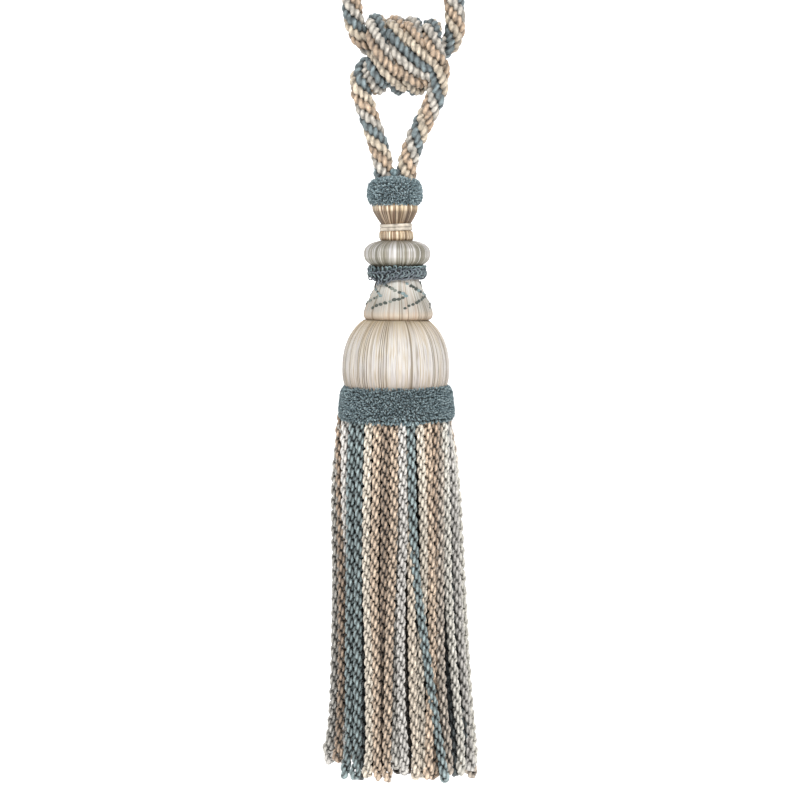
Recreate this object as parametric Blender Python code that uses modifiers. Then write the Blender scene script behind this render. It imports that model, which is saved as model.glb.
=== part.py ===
import math

import bmesh
import bpy
from mathutils import Vector

# Curtain tieback tassel hanging by its rope loop, in metres. The origin is the point on the
# underside of the loop's crown that a hook would carry. +Z is up, +X is to the right and
# the front faces -Y.

OBJECT_NAME = "tieback_tassel"
GAP = 0.0003                      # left between pieces that touch
MERGE = 0.00001                   # merge distance
SHARP_ANGLE = math.radians(50)    # edges sharper than this stay crisp

# --- Furnishing rope: one length looped, wound into a slide knot and sewn into the head ---
ROPE_RADIUS = 0.0046
ROPE_STEP = 0.0060                # distance between the points of a tube
ROPE_SIDES = 2                    # the tube's bevel resolution, which gives eight sides
SEAT_CLEARANCE = 0.00045          # how much wider the rope's seats in the knot are
SEAT_POINTS = 5                   # points at each end of a rope that can reach the knot

# From inside the knot's left end, up the left side, over the crown and back to the right end
LOOP_ROUTE = [
    (-0.0086, 0.0027, -0.0872),
    (-0.0125, 0.0027, -0.0864),
    (-0.0160, 0.0023, -0.0828),
    (-0.0183, 0.0016, -0.0778),
    (-0.0195, 0.0008, -0.0718),
    (-0.0199, 0.0000, -0.0640),
    (-0.0203, 0.0000, -0.0500),
    (-0.0196, 0.0000, -0.0350),
    (-0.0170, 0.0000, -0.0185),
    (-0.0120, 0.0000, -0.0050),
    (-0.0062, 0.0000, 0.0024),
    (0.0004, 0.0000, 0.0046),
    (0.0070, 0.0000, 0.0028),
    (0.0135, 0.0000, -0.0035),
    (0.0194, 0.0000, -0.0150),
    (0.0232, 0.0000, -0.0310),
    (0.0249, 0.0000, -0.0480),
    (0.0255, 0.0000, -0.0650),
    (0.0262, 0.0004, -0.0745),
    (0.0258, 0.0010, -0.0815),
    (0.0236, 0.0016, -0.0861),
    (0.0200, 0.0020, -0.0887),
    (0.0158, 0.0022, -0.0895),
]

# From the head up to the knot's lower left, where it turns in under the first wrap
LEFT_LEG_ROUTE = [
    (-0.0055, 0.0008, -0.1577),
    (-0.0055, 0.0008, -0.1510),
    (-0.0055, 0.0007, -0.1440),
    (-0.0063, 0.0004, -0.1375),
    (-0.0083, 0.0000, -0.1303),
    (-0.0106, -0.0004, -0.1232),
    (-0.0130, -0.0010, -0.1161),
    (-0.0152, -0.0016, -0.1093),
    (-0.0163, -0.0022, -0.1040),
    (-0.0155, -0.0026, -0.0993),
    (-0.0127, -0.0028, -0.0962),
    (-0.0086, -0.0027, -0.0952),
]

# The end of the last wrap, down the front of the knot and in to the head
RIGHT_LEG_ROUTE = [
    (0.0189, -0.0131, -0.0960),
    (0.0190, -0.0126, -0.1000),
    (0.0186, -0.0112, -0.1050),
    (0.0171, -0.0092, -0.1105),
    (0.0146, -0.0072, -0.1160),
    (0.0121, -0.0055, -0.1210),
    (0.0096, -0.0040, -0.1260),
    (0.0077, -0.0028, -0.1308),
    (0.0058, -0.0018, -0.1362),
    (0.0048, -0.0012, -0.1407),
    (0.0043, -0.0009, -0.1450),
    (0.0041, -0.0008, -0.1510),
    (0.0041, -0.0008, -0.1577),
]

# --- Slide knot: the rope wound about an axis along X, over the strands in its core ---
KNOT_Z = -0.0912
KNOT_CORE_RADIUS = 0.0104
KNOT_LEFT_X = -0.0132
KNOT_RIGHT_X = 0.0215
KNOT_AROUND = 24                  # faces round the barrel
KNOT_ALONG = 25                   # rows of faces from end to end
KNOT_RIDGE_RADIUS = 0.0045        # roundness of one wrap across the rope
# Where the wound rope lies, at quarter turns counted from the top of the first wrap:
# even turns are on top, + 0.25 in front, + 0.5 underneath and + 0.75 behind
KNOT_TURNS = [
    # turn, place along X, distance from the axis
    (-0.75, -0.0085, 0.0080),
    (-0.50, -0.0058, 0.0122),
    (-0.25, -0.0080, 0.0131),
    (0.00, -0.0088, 0.0131),
    (0.25, -0.0060, 0.0131),
    (0.50, 0.0014, 0.0131),
    (0.75, 0.0010, 0.0131),
    (1.00, 0.0002, 0.0131),
    (1.25, 0.0026, 0.0131),
    (1.50, 0.0090, 0.0131),
    (1.75, 0.0088, 0.0131),
    (2.00, 0.0081, 0.0131),
    (2.25, 0.0108, 0.0131),
    (2.50, 0.0166, 0.0131),
    (2.75, 0.0167, 0.0131),
    (3.00, 0.0164, 0.0131),
    (3.25, 0.0186, 0.0131),
]
KNOT_LAST_TURN = 3.30
KNOT_WRAPS = range(-1, 4)         # whole turns that the table above runs through

# --- Head: thread-covered moulds and trimmings, each on an axis a little off plumb ---
# A round side is a superellipse: "power" 2 is an ellipse and more is squarer, and "parts"
# is the number of faces down it
TOP_RUFF = {"x": -0.0007, "top": -0.1457, "bottom": -0.1583, "inner": 0.0098, "outer": 0.0124,
            "power": 2.6, "parts": 7}
CUP = {"x": -0.0007, "top": -0.1586, "rim": 0.0106, "rim_edge": 0.0005, "groove": 0.0061,
       "waist": 0.0073, "groove_top": -0.1659, "groove_bottom": -0.1691, "foot": 0.0078,
       "foot_top": -0.1710, "foot_edge": 0.0006, "bottom": -0.1732}
WAIST_BAND = {"x": -0.0007, "top": -0.1661, "bottom": -0.1689, "inner": 0.0065,
              "outer": 0.0075, "power": 4.0, "parts": 5}
BUN = {"x": 0.0000, "centre": -0.1796, "across": 0.0145, "half_height": 0.0066,
       "top": -0.1735, "bottom": -0.1843, "power": 2.6, "parts": 8}
GIMP_COLLAR = {"x": 0.0003, "top": -0.1846, "bottom": -0.1921, "inner": 0.0097,
               "outer": 0.0127, "power": 2.8, "parts": 6}
BELL = {"x": 0.0006, "top": -0.1847, "neck": 0.0090, "shoulder": -0.1925, "throat": 0.0103,
        "lip": 0.0153, "lip_top": -0.2052, "bottom": -0.2086, "lip_from": math.radians(60),
        "lip_to": math.radians(-80), "lip_parts": 4}
BALL = {"x": -0.0003, "centre": -0.2315, "across": 0.0236, "upper": 0.0265, "lower": 0.0185,
        "top": -0.2089, "bottom": -0.2438, "neck": 0.0179, "neck_bottom": -0.2500,
        "power": 2.3, "parts": 12}
WIDE_RUFF = {"x": 0.0000, "top": -0.2391, "bottom": -0.2520, "inner": 0.0233,
             "outer": 0.0259, "flare": 0.0244, "flare_top": -0.2480, "power": 3.2, "parts": 7}

# --- Skirt: bullion fringe whose tape is rolled twice round the ball's neck ---
TAPE_TOP = -0.2443
TAPE_BOTTOM = -0.2490
TAPE_THICKNESS = 0.0019
TAPE_INNER_RADIUS = 0.0193        # middle of the first turn
TAPE_OUTER_RADIUS = 0.0219        # middle of the second turn
TAPE_STEP_START = math.radians(335)   # where the first turn climbs over to the second
TAPE_STEP_LENGTH = math.radians(20)
TAPE_SEAM = math.radians(115)     # direction of the tape's start: the seam is at the back
TAPE_LENGTH = math.radians(690)
TOOTH_PITCH_INNER = math.radians(12)
TOOTH_PITCH_OUTER = math.radians(9)
TOOTH_SHARE = 0.86                # share of the pitch that a cord takes
# The hang of the cords: each section's level, middle radius in the first and the second
# turn, thickness, and how far the whole skirt has drifted to the right
SKIRT_SECTIONS = [
    {"z": -0.2570, "inner": 0.0198, "outer": 0.0240, "thickness": 0.0036, "drift": -0.0004},
    {"z": -0.2720, "inner": 0.0219, "outer": 0.0262, "thickness": 0.0040, "drift": -0.0003},
    {"z": -0.3300, "inner": 0.0235, "outer": 0.0278, "thickness": 0.0040, "drift": 0.0006},
    {"z": -0.3850, "inner": 0.0252, "outer": 0.0297, "thickness": 0.0040, "drift": 0.0020},
    {"z": -0.4115, "inner": 0.0276, "outer": 0.0325, "thickness": 0.0042, "drift": 0.0014},
]
HEM_LEAN = 0.0030                 # the hem is this much lower on the right, higher on the left
HEM_UNEVEN = 0.0022
HEM_WAVES = 5
HEM_PHASE = 1.0
SWAY = 0.0016                     # sideways wander of the cords at the hem
SWAY_WAVES = 3
SWAY_PHASE = 2.4

# Turned pieces: faces round the axis
STEPS_SMALL = 24
STEPS_MIDDLE = 28
STEPS_LARGE = 36

ROPE_COLOUR = (0.46, 0.40, 0.31)
PILE_COLOUR = (0.115, 0.195, 0.205)
CUP_COLOUR = (0.42, 0.33, 0.24)
THREAD_COLOUR = (0.60, 0.55, 0.46)
GIMP_COLOUR = (0.075, 0.125, 0.135)
CORD_COLOUR = (0.40, 0.36, 0.29)


def clear_scene():
    for old in list(bpy.data.objects):
        bpy.data.objects.remove(old, do_unlink=True)


def new_collection(name):
    collection = bpy.data.collections.new(name)
    bpy.context.scene.collection.children.link(collection)
    return collection


def new_material(name, colour, roughness):
    material = bpy.data.materials.new(name)
    material.use_nodes = True
    shader = material.node_tree.nodes["Principled BSDF"]
    shader.inputs["Base Color"].default_value = (*colour, 1.0)
    shader.inputs["Roughness"].default_value = roughness
    shader.inputs["Metallic"].default_value = 0.0
    return material


def catmull(values, place):
    """Value of the smooth curve through evenly numbered values, at a fractional place."""
    last = len(values) - 1
    start = min(int(place), last - 1)
    t = place - start
    before, here = values[max(start - 1, 0)], values[start]
    there, after = values[start + 1], values[min(start + 2, last)]
    return 0.5 * (2 * here + (there - before) * t
                  + (2 * before - 5 * here + 4 * there - after) * t ** 2
                  + (3 * here - before - 3 * there + after) * t ** 3)


def smooth_route(points, step):
    """Evenly spaced points on the smooth curve through a route's own points."""
    route = [Vector(point) for point in points]
    fine_per_point = 12
    fine = [catmull(route, i / fine_per_point)
            for i in range((len(route) - 1) * fine_per_point + 1)]
    lengths = [0.0]
    for before, after in zip(fine, fine[1:]):
        lengths.append(lengths[-1] + (after - before).length)
    count = round(lengths[-1] / step)
    spaced, at = [], 0
    for i in range(count + 1):
        wanted = lengths[-1] * i / count
        while at < len(fine) - 2 and lengths[at + 1] < wanted:
            at += 1
        share = (wanted - lengths[at]) / (lengths[at + 1] - lengths[at])
        spaced.append(fine[at].lerp(fine[at + 1], share))
    return spaced


def tube(name, points, radius, material, collection):
    curve = bpy.data.curves.new(name, "CURVE")
    curve.dimensions = "3D"
    curve.bevel_depth = radius
    curve.bevel_resolution = ROPE_SIDES
    curve.use_fill_caps = True
    spline = curve.splines.new("POLY")
    spline.points.add(len(points) - 1)
    for target, point in zip(spline.points, points):
        target.co = (*point, 1.0)
    if material:
        curve.materials.append(material)
    obj = bpy.data.objects.new(name, curve)
    collection.objects.link(obj)
    return obj


def mesh_from_curve(obj, collection):
    """Replaces a tube by its closed mesh, so that it can cut another piece."""
    bpy.context.view_layer.update()
    evaluated = obj.evaluated_get(bpy.context.evaluated_depsgraph_get())
    mesh = bpy.data.meshes.new_from_object(evaluated)
    weld = bmesh.new()
    weld.from_mesh(mesh)
    bmesh.ops.remove_doubles(weld, verts=weld.verts, dist=MERGE)
    weld.to_mesh(mesh)
    weld.free()
    name, placed = obj.name, obj.matrix_world.copy()
    curve = obj.data
    bpy.data.objects.remove(obj, do_unlink=True)
    bpy.data.curves.remove(curve)
    solid = bpy.data.objects.new(name, mesh)
    solid.matrix_world = placed
    collection.objects.link(solid)
    return solid


def finish_mesh(name, bm, material, collection, location=(0.0, 0.0, 0.0)):
    mesh = bpy.data.meshes.new(name)
    bm.to_mesh(mesh)
    bm.free()
    mesh.materials.append(material)
    mesh.shade_smooth()
    mesh.set_sharp_from_angle(angle=SHARP_ANGLE)
    obj = bpy.data.objects.new(name, mesh)
    obj.location = location
    collection.objects.link(obj)
    return obj


def turned(name, profile, closed, steps, centre_x, material, collection):
    """A profile of (radius, level) pairs, down its outer side, turned about Z."""
    bm = bmesh.new()
    verts = [bm.verts.new((radius, 0.0, level)) for radius, level in profile]
    for before, after in zip(verts, verts[1:]):
        bm.edges.new((before, after))
    if closed:
        bm.edges.new((verts[-1], verts[0]))
    obj = finish_mesh(name, bm, material, collection, (centre_x, 0.0, 0.0))
    screw = obj.modifiers.new("Turn", "SCREW")
    screw.axis = "Z"
    screw.steps = steps
    screw.render_steps = steps
    screw.use_merge_vertices = True
    screw.merge_threshold = MERGE
    screw.use_smooth_shade = True
    return obj


def superellipse(centre, across, upper, lower, power, top, bottom, parts):
    """(radius, level) pairs down the side of a rounded form, from top to bottom."""
    start = math.asin(min(1.0, (top - centre) / upper) ** (power / 2))
    end = -math.asin(min(1.0, (centre - bottom) / lower) ** (power / 2))
    pairs = []
    for i in range(parts + 1):
        angle = start + (end - start) * i / parts
        height = abs(math.sin(angle)) ** (2 / power)
        level = centre + (upper * height if angle > 0 else -lower * height)
        pairs.append((across * max(0.0, math.cos(angle)) ** (2 / power), level))
    return pairs


def ring_profile(sizes):
    """Outline of a band: a rounded outer side and a straight inner one."""
    centre = (sizes["top"] + sizes["bottom"]) / 2
    half = (sizes["top"] - sizes["bottom"]) / 2
    outer_side = superellipse(centre, sizes["outer"] - sizes["inner"], half, half,
                              sizes["power"], sizes["top"], sizes["bottom"], sizes["parts"])
    return [(sizes["inner"] + out, level) for out, level in outer_side]


def knot_turn(turn):
    """Place along X and distance from the knot's axis of the wound rope at a turn."""
    first, second = KNOT_TURNS[0][0], KNOT_TURNS[1][0]
    place = (turn - first) / (second - first)
    place = min(place, len(KNOT_TURNS) - 1.0)
    along = catmull([row[1] for row in KNOT_TURNS], place)
    distance = catmull([row[2] for row in KNOT_TURNS], place)
    return along, distance


def knot_surface(x, share):
    """Radius of the knot at x and at a share of a turn from its top towards the front."""
    radius = KNOT_CORE_RADIUS
    for wrap in KNOT_WRAPS:
        turn = wrap + share
        if KNOT_TURNS[0][0] <= turn <= KNOT_LAST_TURN:
            along, distance = knot_turn(turn)
            off = abs(x - along)
            if off < KNOT_RIDGE_RADIUS:
                radius = max(radius, distance + math.sqrt(KNOT_RIDGE_RADIUS ** 2 - off ** 2))
    return radius


def slide_knot(material, collection, cutters):
    """One wound barrel: a sphere's rows of vertices become the stations along its axis."""
    bm = bmesh.new()
    bmesh.ops.create_uvsphere(bm, u_segments=KNOT_AROUND, v_segments=KNOT_ALONG, radius=1.0)
    for vert in bm.verts:
        row = round(math.acos(max(-1.0, min(1.0, -vert.co.z))) / math.pi * KNOT_ALONG)
        share = (math.atan2(-vert.co.y, vert.co.x) / math.tau) % 1.0
        body = min(max((row - 1) / (KNOT_ALONG - 2), 0.0), 1.0)
        x = KNOT_LEFT_X + (KNOT_RIGHT_X - KNOT_LEFT_X) * body
        if row in (0, KNOT_ALONG):
            radius = 0.0
        elif row in (1, KNOT_ALONG - 1):
            radius = KNOT_CORE_RADIUS
        else:
            radius = knot_surface(x, share)
        angle = share * math.tau
        vert.co = (x, -radius * math.sin(angle), KNOT_Z + radius * math.cos(angle))
    bmesh.ops.recalc_face_normals(bm, faces=bm.faces)
    obj = finish_mesh("slide_knot", bm, material, collection)
    for cutter in cutters:
        cut = obj.modifiers.new("Seat " + cutter.name, "BOOLEAN")
        cut.operation = "DIFFERENCE"
        cut.object = cutter
    return obj


def knot_cutter(name, points, collection):
    """The seat of a rope's end in the knot: the same tube, a little wider."""
    wider = tube(name, points, ROPE_RADIUS + SEAT_CLEARANCE, None, collection)
    cutter = mesh_from_curve(wider, collection)
    cutter.hide_render = True
    cutter.display_type = "WIRE"
    return cutter


def extend(points, distance):
    """The same points with the first one pushed back along the route."""
    direction = (points[0] - points[1]).normalized()
    return [points[0] + direction * distance] + points[1:]


def make_rope(parts, cutters, rope):
    loop = smooth_route(LOOP_ROUTE, ROPE_STEP)
    left = smooth_route(LEFT_LEG_ROUTE, ROPE_STEP)
    right = smooth_route(RIGHT_LEG_ROUTE, ROPE_STEP)
    tube("rope_loop", loop, ROPE_RADIUS, rope, parts)
    tube("rope_leg_left", left, ROPE_RADIUS, rope, parts)
    tube("rope_leg_right", right, ROPE_RADIUS, rope, parts)
    ends = {"loop_left": loop, "loop_right": loop[::-1], "leg_left": left[::-1],
            "leg_right": right}
    seats = [knot_cutter("seat_" + name, extend(points[:SEAT_POINTS], GAP), cutters)
             for name, points in ends.items()]
    slide_knot(rope, parts, seats)


def cup_profile():
    """A cone down to the grooved waist, and a small foot below it."""
    return [(0.0, CUP["top"]),
            (CUP["rim"] - CUP["rim_edge"], CUP["top"]),
            (CUP["rim"], CUP["top"] - CUP["rim_edge"]),
            (CUP["waist"], CUP["groove_top"]),
            (CUP["groove"], CUP["groove_top"]),
            (CUP["groove"], CUP["groove_bottom"]),
            (CUP["waist"], CUP["groove_bottom"]),
            (CUP["foot"], CUP["foot_top"]),
            (CUP["foot"] - CUP["foot_edge"], CUP["bottom"]),
            (0.0, CUP["bottom"])]


def bell_profile():
    """A neck inside the gimp collar, a flared side and a round lip."""
    lip_radius = (BELL["lip_top"] - BELL["bottom"]) / 2
    lip_x = BELL["lip"] - lip_radius
    pairs = [(0.0, BELL["top"]),
             (BELL["neck"], BELL["top"]),
             (BELL["neck"], BELL["shoulder"]),
             (BELL["throat"], BELL["shoulder"] - GAP)]
    for i in range(BELL["lip_parts"] + 1):
        angle = BELL["lip_from"] + (BELL["lip_to"] - BELL["lip_from"]) * i / BELL["lip_parts"]
        pairs.append((lip_x + lip_radius * math.cos(angle),
                      BELL["bottom"] + lip_radius + lip_radius * math.sin(angle)))
    return pairs + [(lip_x, BELL["bottom"]), (0.0, BELL["bottom"])]


def ball_profile():
    """The ball, and the neck that the skirt's tape is rolled round."""
    side = superellipse(BALL["centre"], BALL["across"], BALL["upper"], BALL["lower"],
                        BALL["power"], BALL["top"], BALL["bottom"], BALL["parts"])
    return [(0.0, BALL["top"])] + side + [
        (BALL["neck"], BALL["bottom"]),
        (BALL["neck"], BALL["neck_bottom"]),
        (0.0, BALL["neck_bottom"])]


def bun_profile():
    side = superellipse(BUN["centre"], BUN["across"], BUN["half_height"], BUN["half_height"],
                        BUN["power"], BUN["top"], BUN["bottom"], BUN["parts"])
    return [(0.0, BUN["top"])] + side + [(0.0, BUN["bottom"])]


def wide_ruff_profile():
    """A band whose pile spreads over the skirt at its lower edge."""
    pairs = ring_profile(WIDE_RUFF)
    pairs[-1] = (WIDE_RUFF["flare"], WIDE_RUFF["bottom"])
    return pairs + [(WIDE_RUFF["inner"], WIDE_RUFF["flare_top"])]


def make_head(parts):
    pile = new_material("teal_cut_pile", PILE_COLOUR, 0.95)
    cup_thread = new_material("cup_thread", CUP_COLOUR, 0.55)
    thread = new_material("ivory_thread", THREAD_COLOUR, 0.50)
    gimp = new_material("teal_gimp", GIMP_COLOUR, 0.90)

    turned("top_ruff", ring_profile(TOP_RUFF), True, STEPS_MIDDLE, TOP_RUFF["x"], pile, parts)
    turned("cup", cup_profile(), False, STEPS_SMALL, CUP["x"], cup_thread, parts)
    turned("waist_band", ring_profile(WAIST_BAND), True, STEPS_SMALL, WAIST_BAND["x"],
           thread, parts)
    turned("bun", bun_profile(), False, STEPS_MIDDLE, BUN["x"], thread, parts)
    turned("gimp_collar", ring_profile(GIMP_COLLAR), True, STEPS_MIDDLE, GIMP_COLLAR["x"],
           gimp, parts)
    turned("bell", bell_profile(), False, STEPS_MIDDLE, BELL["x"], thread, parts)
    turned("ball", ball_profile(), False, STEPS_LARGE, BALL["x"], thread, parts)
    turned("wide_ruff", wide_ruff_profile(), True, STEPS_LARGE, WIDE_RUFF["x"], pile, parts)


def smoothstep(value):
    value = min(max(value, 0.0), 1.0)
    return value * value * (3 - 2 * value)


def outer_share(turn_angle):
    """0 in the tape's first turn, 1 in its second."""
    return smoothstep((turn_angle - TAPE_STEP_START) / TAPE_STEP_LENGTH)


def hem_level(direction):
    return (SKIRT_SECTIONS[-1]["z"] - HEM_LEAN * math.cos(direction)
            + HEM_UNEVEN * math.sin(HEM_WAVES * direction + HEM_PHASE))


def tape_corners(turn_angle):
    """Four corners of the tape's section: outer and inner, top then bottom."""
    share = outer_share(turn_angle)
    middle = TAPE_INNER_RADIUS + (TAPE_OUTER_RADIUS - TAPE_INNER_RADIUS) * share
    direction = TAPE_SEAM + turn_angle
    corners = {}
    for side, radius in (("out", middle + TAPE_THICKNESS / 2),
                         ("in", middle - TAPE_THICKNESS / 2)):
        for end, level in (("top", TAPE_TOP), ("bottom", TAPE_BOTTOM)):
            corners[side, end] = Vector((radius * math.cos(direction),
                                         radius * math.sin(direction), level))
    return corners


def skirt_point(turn_angle, side, row, fall):
    """A corner of a hanging cord at one section; fall is 0 at the top and 1 at the hem."""
    share = outer_share(turn_angle)
    radius = row["inner"] + (row["outer"] - row["inner"]) * share
    radius += row["thickness"] / 2 if side == "out" else -row["thickness"] / 2
    direction = TAPE_SEAM + turn_angle
    sway = SWAY * fall * math.sin(SWAY_WAVES * direction + SWAY_PHASE * fall)
    level = hem_level(direction) if fall == 1.0 else row["z"]
    direction += sway / radius
    return Vector((radius * math.cos(direction) + row["drift"],
                   radius * math.sin(direction), level))


def extrude_face(bm, face, move):
    """Pulls a face out into a new stretch; move gives each corner's new place."""
    result = bmesh.ops.extrude_discrete_faces(bm, faces=[face])
    end = result["faces"][0]
    for vert in end.verts:
        vert.co = move(vert.co.copy())
    return end


def closest(corners, place):
    """The key of the corner that lies nearest to a place."""
    return min(corners, key=lambda key: (corners[key] - place).length)


def fringe_teeth():
    """Start and end angle of each cord along the rolled tape."""
    teeth, angle = [], 0.0
    while angle < TAPE_LENGTH:
        share = outer_share(angle)
        pitch = TOOTH_PITCH_INNER + (TOOTH_PITCH_OUTER - TOOTH_PITCH_INNER) * share
        teeth.append((angle, angle + pitch * TOOTH_SHARE))
        angle += pitch
    return teeth


def roll_tape(bm, bounds):
    """Draws the tape out of one block, a face at a time."""
    bmesh.ops.create_cube(bm, size=2.0)
    start, end = tape_corners(bounds[0]), tape_corners(bounds[1])
    for vert in bm.verts:
        place = start if vert.co.y < 0 else end
        key = ("out" if vert.co.x > 0 else "in", "top" if vert.co.z > 0 else "bottom")
        vert.co = place[key]
    tip = nearest_face(bm, end)
    for before, after in zip(bounds[1:], bounds[2:]):
        here, there = tape_corners(before), tape_corners(after)
        tip = extrude_face(bm, tip, lambda co: there[closest(here, co)])


def nearest_face(bm, corners):
    middle = sum(corners.values(), Vector()) / len(corners)
    return min(bm.faces, key=lambda face: (face.calc_center_median() - middle).length)


def hang_cord(bm, start, end):
    """Draws one cord down from the tape's lower edge, a section at a time."""
    here = {("start", side): tape_corners(start)[side, "bottom"] for side in ("out", "in")}
    here.update({("end", side): tape_corners(end)[side, "bottom"] for side in ("out", "in")})
    face = nearest_face(bm, here)
    for number, row in enumerate(SKIRT_SECTIONS):
        fall = number / (len(SKIRT_SECTIONS) - 1)
        there = {(edge, side): skirt_point(start if edge == "start" else end, side, row, fall)
                 for edge, side in here}
        face = extrude_face(bm, face, lambda co: there[closest(here, co)])
        here = there


def skirt_fringe(material, collection):
    """One comb: the tape is rolled, then a cord hangs below it at each pitch."""
    teeth = fringe_teeth()
    bm = bmesh.new()
    roll_tape(bm, [bound for tooth in teeth for bound in tooth])
    for start, end in teeth:
        hang_cord(bm, start, end)
    bmesh.ops.recalc_face_normals(bm, faces=bm.faces)
    return finish_mesh("skirt_fringe", bm, material, collection)


def build():
    clear_scene()
    parts = new_collection(OBJECT_NAME)
    cutters = new_collection("cutters")
    make_rope(parts, cutters, new_material("twisted_rope", ROPE_COLOUR, 0.80))
    make_head(parts)
    skirt_fringe(new_material("bullion_cord", CORD_COLOUR, 0.85), parts)


build()
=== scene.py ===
import math

import bpy
import numpy as np
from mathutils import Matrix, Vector


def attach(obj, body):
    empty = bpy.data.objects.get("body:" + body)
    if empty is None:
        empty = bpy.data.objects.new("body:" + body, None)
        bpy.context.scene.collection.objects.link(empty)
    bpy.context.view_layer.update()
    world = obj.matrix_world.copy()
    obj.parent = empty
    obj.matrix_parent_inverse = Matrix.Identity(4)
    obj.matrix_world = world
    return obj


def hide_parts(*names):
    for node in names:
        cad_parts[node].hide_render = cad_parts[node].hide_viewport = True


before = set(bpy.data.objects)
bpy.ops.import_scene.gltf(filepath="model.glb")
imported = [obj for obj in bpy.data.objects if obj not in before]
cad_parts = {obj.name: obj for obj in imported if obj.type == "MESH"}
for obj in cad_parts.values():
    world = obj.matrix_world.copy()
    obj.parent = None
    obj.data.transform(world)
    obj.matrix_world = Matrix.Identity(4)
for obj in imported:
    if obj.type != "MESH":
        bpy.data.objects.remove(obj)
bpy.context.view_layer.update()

scene = bpy.context.scene
tau = 2 * math.pi

# Yarn colours, linear
yarns = {
    "teal": (0.208, 0.262, 0.264),
    "slate": (0.110, 0.130, 0.132),
    "cream": (0.575, 0.51, 0.42),
    "white": (0.53, 0.505, 0.47),
    "ivoryGrey": (0.565, 0.54, 0.48),
    "grey": (0.46, 0.44, 0.40),
    "taupe": (0.47, 0.40, 0.33),
    "creamTan": (0.565, 0.485, 0.39),
    "tan": (0.525, 0.405, 0.30),
    "brown": (0.365, 0.268, 0.192),
    "ropeTeal": (0.165, 0.205, 0.215),
    "ropeWhite": (0.385, 0.355, 0.310),
    "ropeTan": (0.385, 0.285, 0.200),
    "ropeCream": (0.46, 0.39, 0.30),
}


def inMetres(rows):
    # rows written in mm, brought to metres
    return [tuple(round(value / 1000, 7) for value in row) for row in rows]


def unit(rows):
    return rows / np.linalg.norm(rows, axis=-1, keepdims=True)


def lengthAlong(path):
    return np.concatenate([[0], np.cumsum(np.linalg.norm(np.diff(path, axis=0), axis=1))])


def smoothRoute(points, step):
    # evenly spaced points on the smooth curve through a route's own points
    route = np.array(points, float)
    last = len(route) - 1
    place = np.linspace(0, last, last * 24 + 1)
    i = np.clip(place.astype(int), 0, last - 1)
    t = (place - i)[:, None]
    a, b = route[np.maximum(i - 1, 0)], route[i]
    c, d = route[i + 1], route[np.minimum(i + 2, last)]
    square, cube = 2 * a - 5 * b + 4 * c - d, 3 * b - a - 3 * c + d
    fine = 0.5 * (2 * b + (c - a) * t + square * t ** 2 + cube * t ** 3)
    along = lengthAlong(fine)
    wanted = np.linspace(0, along[-1], max(2, round(along[-1] / step) + 1))
    return np.stack([np.interp(wanted, along, fine[:, k]) for k in range(3)], axis=1), wanted


def carry(path, first):
    # a side direction carried along a path without twisting, and the direction square to it
    tangent = unit(np.gradient(path, axis=0))
    side = np.empty_like(path)
    now = np.array(first, float)
    for n, t in enumerate(tangent):
        now = now - np.dot(now, t) * t
        now /= math.sqrt(np.dot(now, now))
        side[n] = now
    return side, np.cross(tangent, side)


def sweep(path, radius, first, profile, twist=None, flat=None):
    # a closed tube round a path. profile has the share of the radius at each side, twist turns
    # the sides along the way, and flat is (outward directions, share) to press it flatter
    side, up = carry(path, first)
    around, count = len(profile), len(path)
    angle = np.arange(around)[None, :] * tau / around + (0 if twist is None else twist[:, None])
    spokes = np.cos(angle)[:, :, None] * side[:, None] + np.sin(angle)[:, :, None] * up[:, None]
    spokes = spokes * (np.broadcast_to(radius, count)[:, None] * profile[None, :])[:, :, None]
    if flat is not None:
        outward, share = flat
        reach = np.sum(spokes * outward[:, None], axis=2, keepdims=True)
        spokes = spokes - reach * outward[:, None] * (1 - share)
    verts = (path[:, None] + spokes).reshape(-1, 3)
    i, j = np.meshgrid(np.arange(count - 1), np.arange(around), indexing="ij")
    k = (j + 1) % around
    quads = np.stack([i * around + j, i * around + k, (i + 1) * around + k, (i + 1) * around + j], axis=-1)
    along = lengthAlong(path)
    u = np.stack([j, j + 1, j + 1, j], axis=-1) / around
    v = np.stack([along[i], along[i], along[i + 1], along[i + 1]], axis=-1)
    ends = [list(range(around))[::-1], list(range((count - 1) * around, count * around))]
    uvs = np.stack([u, v], axis=-1).reshape(-1, 2)
    return {"verts": verts, "quads": quads.reshape(-1, 4), "uvs": uvs, "ends": ends}


def yarnProfile(yarns, sides, depth):
    # the section of a strand of a few yarns: full on each yarn, less between two
    angle = np.arange(sides) * tau / sides
    return 1 - depth + depth * np.abs(np.cos(yarns * angle / 2)) ** 1.5


def addCrests(tube, axis, low, high):
    # how far each vertex stands out from its cord's axis: 0 deep in a groove, 1 on a crest
    away = np.linalg.norm(tube["verts"].reshape(len(axis), -1, 3) - axis[:, None], axis=2)
    return {**tube, "crest": np.clip((away.ravel() - low) / (high - low), 0, 1)}


grooves = {"least": 0.03, "most": 0.92, "rise": 5.0}    # how much light is left deep between two yarns


def setMeshData(layer, field, values):
    layer.data.foreach_set(field, np.asarray(values, np.float32).ravel())


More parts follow.
